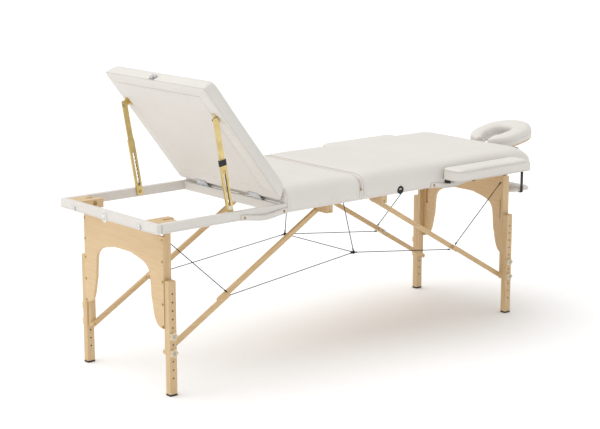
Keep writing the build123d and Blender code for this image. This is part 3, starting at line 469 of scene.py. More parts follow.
@dataclass(frozen=True)
class Plated(Finish):
    """Plated or painted metal, brushed along one axis and bare at its edges."""

    rough: tuple[float, float] = (0.26, 0.42)
    brushed_along: str = "x"
    metallic: float = 1.0
    bare: tuple[float, float, float, float] = colour(200, 196, 186)

    def build(self) -> bpy.types.Material:
        """Builds the material.

        Returns:
            The finished material.
        """
        material, graph, shader = self.start()
        stretch = [1.0, 1.0, 1.0]
        stretch["xyz".index(self.brushed_along)] = 0.06
        effect = self.effect(graph, Effects.marks, {
            "Base": self.light, "Shade": self.dark, "Stretch": stretch, "Scale": 1100.0,
            "Rough Low": self.rough[0], "Rough High": self.rough[1]})
        self.dress(graph, shader, effect, 0.00006, 0.3)
        wear = self.effect(graph, Effects.edge, {"Width": 0.0008, "Breakup": 160.0})
        worn = graph.mix(graph.math("MULTIPLY", wear.outputs["Mask"], 0.5),
                         effect.outputs["Color"], self.bare)
        graph.tree.links.new(worn, shader.inputs["Base Color"])
        shader.inputs["Metallic"].default_value = self.metallic
        return material


@dataclass(frozen=True)
class Moulded(Finish):
    """Moulded plastic or rubber with a fine spark-eroded texture."""

    rough: tuple[float, float] = (0.38, 0.55)
    scale: float = 1500.0
    depth: float = 0.00008

    def build(self) -> bpy.types.Material:
        """Builds the material.

        Returns:
            The finished material.
        """
        material, graph, shader = self.start()
        effect = self.effect(graph, Effects.marks, {
            "Base": self.light, "Shade": self.dark, "Scale": self.scale,
            "Rough Low": self.rough[0], "Rough High": self.rough[1]})
        self.dress(graph, shader, effect, self.depth, 0.4)
        return material


@dataclass(frozen=True)
class Woven(Finish):
    """Woven or felted cloth, with threads that cross."""

    threads: float = 700.0
    depth: float = 0.0003

    def build(self) -> bpy.types.Material:
        """Builds the material.

        Returns:
            The finished material.
        """
        material, graph, shader = self.start()
        where = graph.add("TexCoord").outputs["Object"]
        waves = [graph.add("TexWave", {"Vector": where, "Scale": self.threads, "Distortion": 0.6,
                                       "Detail": 1.0}, bands_direction=axis).outputs["Fac"]
                 for axis in ("X", "Y", "Z")]
        weave = graph.math("MULTIPLY", graph.math("ADD", waves[0], waves[2]), waves[1])
        effect = self.effect(graph, Effects.marks, {
            "Base": self.light, "Shade": self.dark, "Scale": 420.0,
            "Rough Low": 0.72, "Rough High": 0.9})
        bump = self.dress(graph, shader, effect, self.depth, 0.5)
        tinted = graph.mix(graph.math("MULTIPLY", weave, 0.18), effect.outputs["Color"], self.dark)
        graph.tree.links.new(tinted, shader.inputs["Base Color"])
        height = graph.math("ADD", weave, effect.outputs["Height"])
        graph.tree.links.new(height, bump.inputs["Height"])
        return material


IVORY = colour(222, 218, 212)
IVORY_SHADE = colour(208, 202, 194)


class Finishes:
    """Every finish of the table, built once."""

    cover = CoatedCloth("ivory_cover", IVORY, IVORY_SHADE).build()
    wrap = CoatedCloth("rail_wrap", colour(220, 216, 210), IVORY_SHADE, pebble=480.0).build()
    strap = CoatedCloth("strap_cover", colour(220, 216, 210), colour(202, 195, 186),
                        pebble=600.0).build()
    piping = CoatedCloth("piping", colour(208, 201, 191), colour(190, 181, 169), pebble=700.0,
                         sheen=0.2).build()
    thread = Woven("sewing_thread", colour(216, 210, 200), colour(190, 181, 168),
                   threads=2400.0, depth=0.0001).build()
    lining = Woven("felt_lining", colour(252, 252, 250), colour(246, 245, 242),
                   threads=380.0, depth=0.0002).build()
    webbing = Woven("black_webbing", colour(34, 34, 36), colour(18, 18, 20), threads=520.0).build()
    upright = Beech("beech_upright", colour(214, 188, 148), colour(194, 158, 108)).build()
    panel = Beech("beech_panel", colour(220, 192, 150), colour(198, 164, 118), grain_along="y",
                  figure=0.65).build()
    brace = Beech("beech_brace", colour(216, 188, 144), colour(194, 158, 108),
                  grain_along="x").build()
    block = Beech("beech_block", colour(218, 190, 148), colour(190, 154, 108),
                  grain_along="y").build()
    plywood = Beech("plywood_board", colour(214, 190, 150), colour(170, 134, 92), grain_along="x",
                    figure=0.9).build()
    zinc = Plated("yellow_zinc", colour(228, 208, 152), colour(190, 164, 98),
                  brushed_along="z").build()
    steel = Plated("bright_zinc", colour(206, 207, 208), colour(160, 162, 166)).build()
    brass = Plated("brass_plate", colour(196, 166, 104), colour(134, 102, 50),
                   brushed_along="y").build()
    black_steel = Plated("black_steel", colour(44, 45, 48), colour(26, 27, 30), rough=(0.34, 0.5),
                         metallic=0.3, bare=colour(90, 90, 92)).build()
    cable = Plated("coated_cable", colour(40, 42, 45), colour(20, 21, 24), rough=(0.4, 0.6),
                   metallic=0.3, bare=colour(90, 92, 96)).build()
    cream = Moulded("cream_plastic", colour(226, 210, 178), colour(208, 190, 156)).build()
    chrome = Plated("polished_cap", colour(226, 227, 228), colour(196, 198, 202),
                    rough=(0.12, 0.22)).build()
    white = Moulded("white_plastic", colour(236, 236, 234), colour(214, 214, 212),
                    rough=(0.28, 0.4)).build()
    black = Moulded("black_plastic", colour(34, 34, 36), colour(20, 20, 22)).build()
    rubber = Moulded("rubber_feet", colour(40, 40, 41), colour(24, 24, 25), rough=(0.62, 0.82),
                     scale=700.0, depth=0.0002).build()


NODE_FINISHES = {
    "side_rails": Finishes.wrap, "end_rail": Finishes.wrap, "cross_rails": Finishes.wrap,
    "wood_blocks": Finishes.block, "leg_posts": Finishes.upright, "leg_boards": Finishes.upright,
    "leg_panel": Finishes.panel, "brace_lower": Finishes.brace, "brace_upper": Finishes.brace,
    "_board": Finishes.plywood, "cradle_plate": Finishes.plywood,
    "stay_channels": Finishes.zinc, "stay_struts": Finishes.zinc, "stay_brackets": Finishes.zinc,
    "stay_caps": Finishes.black, "hinge_leaves": Finishes.steel, "leg_screws": Finishes.brass,
    "knee_bolts": Finishes.steel, "fasteners": Finishes.brass, "leg_feet": Finishes.rubber,
    "leg_knobs": Finishes.cream, "end_bumpers": Finishes.chrome, "end_latch_keeper": Finishes.white,
    "backrest_catch": Finishes.steel, "armrest_bushes": Finishes.black,
    "cradle_rods": Finishes.black_steel, "cradle_lock": Finishes.black,
    "_bracket": Finishes.black_steel, "shelf_straps": Finishes.webbing,
}
SOFT_EDGES = {"side_rails": 2.5, "end_rail": 2.5, "leg_knobs": 1.2, "brace": 1.6, "posts": 0.8,
              "leg_panel": 0.8, "wood_blocks": 1.2, "stay_struts": 0.5, "bushes": 0.8}


def dress_cad_nodes() -> None:
    """Gives every CAD node its finish, and the hard edges of the nodes listed in SOFT_EDGES a small
    round.
    """
    for name, node in frame["nodes"].items():
        finish = next((m for key, m in NODE_FINISHES.items() if name.endswith(key)), Finishes.cover)
        node.data.materials.clear()
        node.data.materials.append(finish)
        radius = next((r for key, r in SOFT_EDGES.items() if key in name), 0.0)
        if radius:
            bevel = node.modifiers.new("soft_edges", "BEVEL")
            bevel.width = radius * MM
            bevel.segments = 2
            bevel.limit_method = "ANGLE"
            bevel.angle_limit = math.radians(50)
            bevel.harden_normals = True


# ---- mesh helpers ---------------------------------------------------------------------
def finish_piece(name: str, mesh: bpy.types.Mesh, material: bpy.types.Material,
                 body: str | None, slot: str, *replaced: str) -> bpy.types.Object:
    """Turns a mesh into a piece of the table.

    Args:
        name: the piece's name.
        mesh: its mesh, in the row frame.
        material: its finish.
        body: the CAD body it rides on, or None where it rides on none.
        slot: the record's material slot; not used.
        replaced: CAD nodes that it stands for.

    Returns:
        The piece's object.
    """
    piece = placed(name, mesh)
    mesh.materials.clear()
    mesh.materials.append(material)
    mesh.polygons.foreach_set("use_smooth", [True] * len(mesh.polygons))
    if body:
        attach(piece, body)
    if replaced:
        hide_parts(*replaced)
    LOG.info("%s: %d faces", name, len(mesh.polygons))
    return piece


def placed(name: str, data: bpy.types.ID) -> bpy.types.Object:
    """Puts a mesh, light or camera in the scene.

    Args:
        name: the object's name.
        data: what the object shows.

    Returns:
        The object.
    """
    item = bpy.data.objects.new(name, data)
    bpy.context.scene.collection.objects.link(item)
    return item


def evaluated(holder: bpy.types.Object) -> bpy.types.Mesh:
    """Returns a new mesh of an object with its modifiers applied."""
    depsgraph = bpy.context.evaluated_depsgraph_get()
    return bpy.data.meshes.new_from_object(holder.evaluated_get(depsgraph))


def turns(count: int) -> list[float]:
    """Angles of evenly spaced points round a circle."""
    return [2 * math.pi * k / count for k in range(count)]


def mesh_from(name: str, bm: bmesh.types.BMesh) -> bpy.types.Mesh:
    """Writes a bmesh to a new mesh with its normals pointing out.

    Args:
        name: the mesh's name.
        bm: the bmesh, which is freed.

    Returns:
        The new mesh.
    """
    bmesh.ops.recalc_face_normals(bm, faces=bm.faces[:])
    mesh = bpy.data.meshes.new(name)
    bm.to_mesh(mesh)
    bm.free()
    return mesh


def add_rings(bm: bmesh.types.BMesh, rings: Sequence[Sequence[Vector]], capped: bool = True,
              looped: bool = False) -> None:
    """Skins a series of rings with the same number of points.

    Args:
        bm: where the faces go.
        rings: the rings' points, in order.
        capped: whether the first and last ring are filled.
        looped: whether the last ring joins the first one.
    """
    rows = [[bm.verts.new(p) for p in ring] for ring in rings]
    pairs = list(zip(rows, rows[1:] + ([rows[0]] if looped else [])))
    for lower, upper in pairs:
        for i in range(len(lower)):
            j = (i + 1) % len(lower)
            bm.faces.new((lower[i], lower[j], upper[j], upper[i]))
    if capped and not looped:
        bm.faces.new(rows[0][::-1])
        bm.faces.new(rows[-1])


def tube_rings(path: Sequence[Vector], radius: float, sides: int = 10) -> list[list[Vector]]:
    """Round rings along a path, without twist.

    Args:
        path: points of the middle line.
        radius: of the rings, in metres.
        sides: points on each ring.

    Returns:
        The rings' points.
    """
    rings = []
    normal = None
    for i, point in enumerate(path):
        ahead = path[min(i + 1, len(path) - 1)] - path[max(i - 1, 0)]
        tangent = ahead.normalized()
        if normal is None:
            normal = tangent.orthogonal().normalized()
        normal = (normal - tangent * normal.dot(tangent)).normalized()
        other = tangent.cross(normal)
        rings.append([point + (normal * math.cos(a) + other * math.sin(a)) * radius
                      for a in turns(sides)])
    return rings


def add_turned(bm: bmesh.types.BMesh, base: Vector, axis: Vector,
               profile: Sequence[tuple[float, float]], sides: int = 24) -> None:
    """Adds a turned piece.

    Args:
        bm: where the faces go.
        base: the point on the axis that heights are counted from.
        axis: the direction of the axis.
        profile: radius and height of each ring, in millimetres, from one end to the other.
        sides: points on each ring.
    """
    up = axis.normalized()
    right = up.orthogonal().normalized()
    other = up.cross(right)
    rings = []
    for radius, height in profile:
        rings.append([base + up * (height * MM) + (right * math.cos(a) + other * math.sin(a))
                      * (max(radius, 0.02) * MM)
                      for a in turns(sides)])
    add_rings(bm, rings)


def add_slab(bm: bmesh.types.BMesh, low: Vector, high: Vector, radius: float) -> None:
    """Adds a box with rounded edges.

    Args:
        bm: where the faces go.
        low: its lowest corner.
        high: its highest corner.
        radius: of its edges, in metres.
    """
    made = bmesh.ops.create_cube(bm, size=1.0)
    verts = made["verts"]
    size = high - low
    for v in verts:
        v.co = Vector((low[i] + (v.co[i] + 0.5) * size[i] for i in range(3)))
    edges = list({e for v in verts for e in v.link_edges})
    bmesh.ops.bevel(bm, geom=edges, offset=radius, segments=3, affect="EDGES", profile=0.5)


def add_stitches(bm: bmesh.types.BMesh, line: Sequence[Vector], pitch: float = 4.5 * MM,
                 length: float = 3.1 * MM, radius: float = 0.45 * MM) -> None:
    """Adds a row of short thread stitches along a line.

    Args:
        bm: where the faces go.
        line: points along the row.
        pitch: distance from one stitch to the next.
        length: of a stitch.
        radius: of the thread.
    """
    lengths = [(b - a).length for a, b in zip(line, line[1:])]
    total = sum(lengths)
    place, passed, index = pitch / 2, 0.0, 0
    while place + length / 2 < total:
        while passed + lengths[index] < place:
            passed += lengths[index]
            index += 1
        a, b = line[index], line[index + 1]
        centre = a.lerp(b, (place - passed) / lengths[index])
        run = (b - a).normalized() * (length / 2)
        path = [centre - run, centre - run * 0.6, centre + run * 0.6, centre + run]
        rings = tube_rings(path, radius, 6)
        for ring, middle in ((rings[0], path[0]), (rings[-1], path[-1])):
            for p in ring:
                p.xyz = middle + (p - middle) * 0.4
        add_rings(bm, rings)
        place += pitch


class SurfaceFinder:
    """Finds places on a finished piece, to lay seams and piping on it."""

    def __init__(self, piece: bpy.types.Object) -> None:
        """Reads the piece's faces once.

        Args:
            piece: the finished piece.
        """
        points = [v.co.copy() for v in piece.data.vertices]
        self.tree = BVHTree.FromPolygons(points, [tuple(p.vertices) for p in piece.data.polygons])

    def lay(self, line: Sequence[Vector], lift: float) -> list[Vector]:
        """Moves a line's points to the surface.

        Args:
            line: points near the surface.
            lift: height above the surface, in metres.

        Returns:
            The points on the surface, raised by lift.
        """
        laid = []
        for point in line:
            place, normal, _, _ = self.tree.find_nearest(point)
            laid.append(place + normal * lift)
        return laid


def evenly(points: Sequence[Vector], spacing: float) -> list[Vector]:
    """Straight lines between points, cut in even steps.

    Args:
        points: corners of the line.
        spacing: wanted length of a step.

    Returns:
        The points along the line, with both its ends.
    """
    line = []
    for a, b in zip(points, points[1:]):
        steps = max(1, round((b - a).length / spacing))
        line += [a.lerp(b, k / steps) for k in range(steps)]
    return line + [points[-1].copy()]


def smoothstep(value: float, low: float, high: float) -> float:
    """0 below low, 1 above high, and a smooth rise between them."""
    t = min(max((value - low) / (high - low), 0.0), 1.0)
    return t * t * (3 - 2 * t)


COUNTERSUNK_SCREW = ((3.4, -0.6), (3.4, 0.1), (2.9, 0.7), (1.6, 0.9), (1.4, 0.4), (0, 0.4))
SMALL_SCREW = ((2.6, -0.4), (2.6, 0.2), (2.0, 0.8), (0.9, 0.9), (0.8, 0.5), (0, 0.5))
PAN_SCREW = ((4.2, -0.3), (4.2, 0.4), (3.4, 1.3), (1.6, 1.7), (1.5, 1.1), (0, 1.1))
RAIL_SCREW = ((2.8, -0.3), (2.8, 0.3), (2.1, 0.9), (0.9, 1.0), (0.8, 0.5), (0, 0.5))
PANEL_SCREW = ((5.0, -0.6), (5.0, 0.1), (4.4, 0.7), (2.2, 1.2), (2.0, 0.5), (0, 0.4))
CUP_SCREW = ((4.8, -0.4), (4.9, 0.3), (4.3, 0.7), (3.2, 0.8), (3.1, 1.2), (2.6, 2.0),
             (1.3, 2.4), (1.1, 1.9), (0, 1.9))
KNOB_HUB = ((10.6, -1.2), (10.4, 0.3), (9.4, 1.3), (7.6, 1.8), (6.9, 1.5), (6.7, 0.5), (0, 0.5))
KNOB_NUT = ((4.6, 0.0), (4.6, 1.7), (4.0, 2.2), (2.4, 2.2), (2.2, 1.5), (0, 1.5))
CABLE_KNOT = ((2.0, 0), (4.4, 0.8), (4.6, 4.5), (4.4, 8.2), (2.0, 9.0))
GROMMET = ((15.8, -0.6), (15.8, 0.6), (14.9, 1.6), (12.4, 2.2), (9.8, 1.7), (8.4, 0.7),
           (7.8, -0.6), (6.6, -4.0), (6.45, -9.0), (6.4, -9.0), (6.4, -10.0))
ROD_SLEEVE = ((8.5, -2.0), (14.0, -0.6), (14.2, 0.8), (12.6, 1.9), (10.2, 2.1), (8.7, 1.4),
              (8.5, -1.9))
PIVOT_COVER = ((7.4, -0.1), (7.4, 0.1), (6.4, 0.33), (0, 0.36))
DOMED_NUT = ((8.0, -0.5), (8.0, 0.7), (6.0, 0.9), (5.6, 3.0), (3.8, 4.6), (0, 5.1))


# ---- padded pieces ------------------------------------------------------------------
@dataclass(frozen=True)
class Pleat:
    """A pulled-in fold of a cover, along a straight line, in millimetres."""

    start: tuple[float, float, float]
    stop: tuple[float, float, float]
    depth: float
    width: float

    def shift(self, point: Vector) -> float:
        """How far the pleat pulls a point in.

        Args:
            point: a place on the cover.

        Returns:
            The distance, in metres.
        """
        a, b = Vector(self.start) * MM, Vector(self.stop) * MM
        run = b - a
        t = min(max((point - a).dot(run) / run.length_squared, 0.0), 1.0)
        away = (point - (a + run * t)).length / (self.width * MM)
        return self.depth * MM * math.exp(-away * away) * (1.0 - 0.7 * t)


@dataclass
class Padding:
    """How a padded piece is swollen by a cloth simulation."""

    voxel: float = 8.0
    cap: float = 6.0
    pressure: float = 4.0
    frames: int = 20
    free: Callable[[Vector], float] = lambda point: 1.0
    pleats: tuple[Pleat, ...] = ()
    ripple: float = 0.5

    def remeshed(self, mesh: bpy.types.Mesh) -> bpy.types.Mesh:
        """Remakes a mesh with even small faces.

        Args:
            mesh: the closed starting shape.

        Returns:
            The new mesh.
        """
        holder = placed("remesh", mesh)
        remesh = holder.modifiers.new("remesh", "REMESH")
        remesh.mode = "VOXEL"
        remesh.voxel_size = self.voxel * MM
        even = evaluated(holder)
        bpy.data.objects.remove(holder)
        return even

    def simulated(self, mesh: bpy.types.Mesh) -> list[Vector]:
        """Blows the cover up with a cloth simulation.

        Args:
            mesh: the cover at rest, which the simulation may use up.

        Returns:
            The places of its points after the last frame.
        """
        holder = placed("swelling", mesh)
        scene = bpy.context.scene
        cloth = holder.modifiers.new("cloth", "CLOTH")
        cloth.settings.quality = 4
        cloth.settings.mass = 0.3
        cloth.settings.tension_stiffness = 15
        cloth.settings.compression_stiffness = 15
        cloth.settings.bending_stiffness = 0.6
        cloth.settings.use_pressure = True
        cloth.settings.uniform_pressure_force = self.pressure
        cloth.settings.effector_weights.gravity = 0.0
        cloth.point_cache.frame_start = 1
        cloth.point_cache.frame_end = self.frames
        for step in range(1, self.frames + 1):
            scene.frame_set(step)
        swollen = evaluated(holder)
        places = [v.co.copy() for v in swollen.vertices]
        bpy.data.objects.remove(holder)
        bpy.data.meshes.remove(swollen)
        scene.frame_set(1)
        return places

    def finished(self, mesh: bpy.types.Mesh) -> bpy.types.Mesh:
        """Returns the swollen and pleated mesh, subdivided once.

        Args:
            mesh: the pad's closed starting shape.

        Returns:
            A new mesh with no modifier left.
        """
        even = self.remeshed(mesh)
        starts = [v.co.copy() for v in even.vertices]
        normals = [v.normal.copy() for v in even.vertices]
        ends = self.simulated(even.copy())
        for vertex, start, end, normal in zip(even.vertices, starts, ends, normals):
            move = end - start
            limit = self.cap * MM * self.free(start)
            if move.length > limit:
                move = move.normalized() * limit
            wave = noise.noise(start * 14.0) * self.ripple * MM * self.free(start)
            pull = sum(p.shift(start) for p in self.pleats)
            vertex.co = start + move + normal * (wave - pull)
        holder = placed("subdivide", even)
        smooth = holder.modifiers.new("smooth", "SMOOTH")
        smooth.iterations = 2
        smooth.factor = 0.4
        subdivision = holder.modifiers.new("subdivide", "SUBSURF")
        subdivision.levels = 1
        fine = evaluated(holder)
        bpy.data.objects.remove(holder)
        return fine


@dataclass
class BlockShape:
    """Starting shape of a block-like pad, in millimetres: rings from its bottom to its top.

    Every radius rounds the top edge over that side; corners are the plan corners, as they
    are at the bottom and at the top.
    """

    x: tuple[float, float]
    y: tuple[float, float]
    z: tuple[float, float]
    top_radius_x: tuple[float, float] = (10.0, 10.0)
    top_radius_y: tuple[float, float] = (45.0, 45.0)
    corners_low: tuple[float, float] = (6.0, 6.0)
    corners_top: tuple[float, float] = (10.0, 10.0)
    foot_radius: float = 2.0
    start_of_x: Callable[[float], float] | None = None

    @staticmethod
    def inset(height: float, top: float, radius: float) -> float:
        """How far a rounded edge is drawn in at a height.

        Args:
            height: where it is asked for.
            top: height of the face above the edge.
            radius: of the edge.

        Returns:
            The distance from the side, in millimetres.
        """
        rise = height - (top - radius)
        if rise <= 0:
            return 0.0
        return radius - math.sqrt(max(radius * radius - rise * rise, 0.0))

    def ring(self, height: float) -> list[Vector]:
        """Outline of the pad at a height.

        Args:
            height: in millimetres.

        Returns:
            The outline's points, in metres.
        """
        low, top = self.z
        share = smoothstep(height, low + 0.4 * (top - low), top - 4)
        begin = self.start_of_x(height) if self.start_of_x else self.x[0]
        foot = self.inset(low + (top - height), top, self.foot_radius)
        x0 = begin + self.inset(height, top, self.top_radius_x[0]) + foot
        x1 = self.x[1] - self.inset(height, top, self.top_radius_x[1]) - foot
        y0 = self.y[0] + self.inset(height, top, self.top_radius_y[0]) + foot
        y1 = self.y[1] - self.inset(height, top, self.top_radius_y[1]) - foot
        radii = [self.corners_low[i] * (1 - share) + self.corners_top[i] * share for i in (0, 1)]
        points = []
        corners = ((x1, y1, radii[1], 0), (x0, y1, radii[0], 90), (x0, y0, radii[0], 180),
                   (x1, y0, radii[1], 270))
        for x, y, radius, first in corners:
            cx = x - radius if x == x1 else x + radius
            cy = y - radius if y == y1 else y + radius
            for step in range(7):
                a = math.radians(first + 15 * step)
                points.append(Vector((cx + radius * math.cos(a), cy + radius * math.sin(a),
                                      height)) * MM)
        return points

    def mesh(self, name: str) -> bpy.types.Mesh:
        """Builds the closed mesh.

        Args:
            name: the mesh's name.

        Returns:
            The mesh.
        """
        low, top = self.z
        rim = max(*self.top_radius_x, *self.top_radius_y)
        heights = [low, low + self.foot_radius * 0.3, low + self.foot_radius]
        flat = max(top - rim, low + self.foot_radius + 1)
        heights += [low + self.foot_radius + (flat - low - self.foot_radius) * k / 6
                    for k in range(1, 7)]
        heights += [top - (top - flat) * math.cos(math.radians(90 * k / 14)) for k in range(1, 15)]
        heights = [min(height, top - 0.01) for height in heights]
        bm = bmesh.new()
        add_rings(bm, [self.ring(h) for h in heights])
        return mesh_from(name, bm)


def open_shell(mesh: bpy.types.Mesh, keep: Callable[[Vector, Vector], bool],
               thickness: float) -> bpy.types.Mesh:
    """Cuts away a cover's hidden faces and gives the rest its thickness.

    Args:
        mesh: the closed cover.
        keep: says from a face's centre and normal whether it stays.
        thickness: of the covering cloth, in metres.

    Returns:
        A new closed mesh.
    """
    bm = bmesh.new()
    bm.from_mesh(mesh)
    gone = [f for f in bm.faces if not keep(f.calc_center_median(), f.normal)]
    bmesh.ops.delete(bm, geom=gone, context="FACES")
    bm.to_mesh(mesh)
    bm.free()
    holder = placed("shell", mesh)
    solid = holder.modifiers.new("thickness", "SOLIDIFY")
    solid.thickness = thickness
    solid.offset = -1.0
    shell = evaluated(holder)
    bpy.data.objects.remove(holder)
    return shell


def cord_piece(name: str, lines: Iterable[Sequence[Vector]], radius: float,
               material: bpy.types.Material, body: str | None, slot: str) -> bpy.types.Object:
    """Makes one piece out of round cords.

    Args:
        name: the piece's name.
        lines: points of each cord's middle.
        radius: of the cords, in metres.
        material: their finish.
        body: the CAD body they ride on.
        slot: the record's material slot.

    Returns:
        The piece's object.
    """
    bm = bmesh.new()
    for line in lines:
        add_rings(bm, tube_rings(line, radius, 8))
    return finish_piece(name, mesh_from(name, bm), material, body, slot)


def stitch_piece(name: str, lines: Iterable[Sequence[Vector]], body: str,
                 slot: str) -> bpy.types.Object:
    """Makes one piece out of rows of stitches.

    Args:
        name: the piece's name.
        lines: points of each row.
        body: the CAD body they ride on.
        slot: the record's material slot.

    Returns:
        The piece's object.
    """
    bm = bmesh.new()
    for line in lines:
        add_stitches(bm, line)
    return finish_piece(name, mesh_from(name, bm), Finishes.thread, body, slot)


@dataclass
class FixedCushion:
    """Cover of a fixed cushion, drawn down over its frame rails."""

    end: End
    x: tuple[float, float]
    node: str
    corners_top: tuple[float, float]
    end_radius: tuple[float, float]
    covered_end: bool
    pleats: tuple[Pleat, ...]
    half_width: float = 302.7
    bottom: float = 586.0
    top: float = 676.2
    side_radius: float = 44.0
    cloth: float = 1.3
    board_top: float = 616.8
    piping_inset: float = 9.0
    hem_height: float = 590.5

    def build(self) -> bpy.types.Object:
        """Builds the cover with its seams.

        Returns:
            The cover.
        """
        shape = BlockShape(self.x, (-self.half_width, self.half_width), (self.bottom, self.top),
                           self.end_radius, (self.side_radius, self.side_radius), (3.0, 5.0),
                           self.corners_top, 1.0)
        padding = Padding(voxel=8.0, cap=4.5, pleats=self.pleats, ripple=0.7,
                          free=self.free_to_swell)
        mesh = padding.finished(shape.mesh(self.node))
        shell = open_shell(mesh, self.shows, self.cloth * MM)
        name = f"{self.end.word}_cushion_cover"
        piece = finish_piece(name, shell, Finishes.cover, f"{self.end.word}_half", "upholstery",
                             self.node)
        self.sew(piece)
        return piece

    def free_to_swell(self, point: Vector) -> float:
        """How much of its swelling a point may show: none beside the rails or the fold.

        Args:
            point: a place on the cover at rest.

        Returns:
            A share from 0 to 1.
        """
        rise = smoothstep(point.z / MM, 620, 650)
        from_ends = min(point.x / MM - self.x[0], self.x[1] - point.x / MM)
        return rise * (0.08 + 0.92 * smoothstep(from_ends, 0, 45))

    def shows(self, centre: Vector, normal: Vector) -> bool:
        """Whether a face of the cover is outside the frame.

        Args:
            centre: the face's middle.
            normal: the way it faces.

        Returns:
            True where the face stays.
        """
        below_board = centre.z < self.board_top * MM
        if normal.z < -0.5 and centre.z < (self.bottom + 6) * MM:
            return False
        at_start = centre.x < (self.x[0] + 6) * MM and abs(normal.x) > 0.5
        at_stop = centre.x > (self.x[1] - 6) * MM and abs(normal.x) > 0.5
        if at_stop and self.covered_end:
            return True
        return not (below_board and (at_start or at_stop))

    def sew(self, cover: bpy.types.Object) -> None:
        """Lays the piping over the ends and the thread lines down the corners.

        Args:
            cover: the finished cover.
        """
        finder = SurfaceFinder(cover)
        body = f"{self.end.word}_half"
        reach = self.half_width
        lines, threads = [], []
        first, last = self.x[0] + self.piping_inset, self.x[1] - self.piping_inset
        for x in (first,) if self.covered_end else (first, last):
            guide = [Vector((x, -reach - 2, 588)), Vector((x, -reach - 2, 636)),
                     Vector((x, -reach + 12, 668)), Vector((x, -reach + 46, 680)),
                     Vector((x, reach - 46, 680)), Vector((x, reach - 12, 668)),
                     Vector((x, reach + 2, 636)), Vector((x, reach + 2, 588))]
            lines.append(finder.lay([p * MM for p in evenly(guide, 7.0)], 0.4 * MM))
        for side in Side:
            for x in self.x if not self.covered_end else (self.x[0], self.x[1] - 42):
                inward = 22 if x == self.x[0] else -22
                run = [Vector((x + inward, side.value * reach, z)) for z in range(588, 650, 4)]
                threads.append(finder.lay([p * MM for p in run], 0.2 * MM))
        cord_piece(f"{body}_piping", lines, 1.5 * MM, Finishes.piping, body, "upholstery")
        stitch_piece(f"{body}_corner_stitches", threads, body, "upholstery")
        hems = []
        for side in Side:
            run = [Vector((x, side.value * reach, self.hem_height))
                   for x in np.arange(self.x[0] + 12, self.x[1] - 12, 6.0)]
            hems.append(finder.lay([p * MM for p in run], 0.2 * MM))
        stitch_piece(f"{body}_hem_stitches", hems, body, "upholstery")


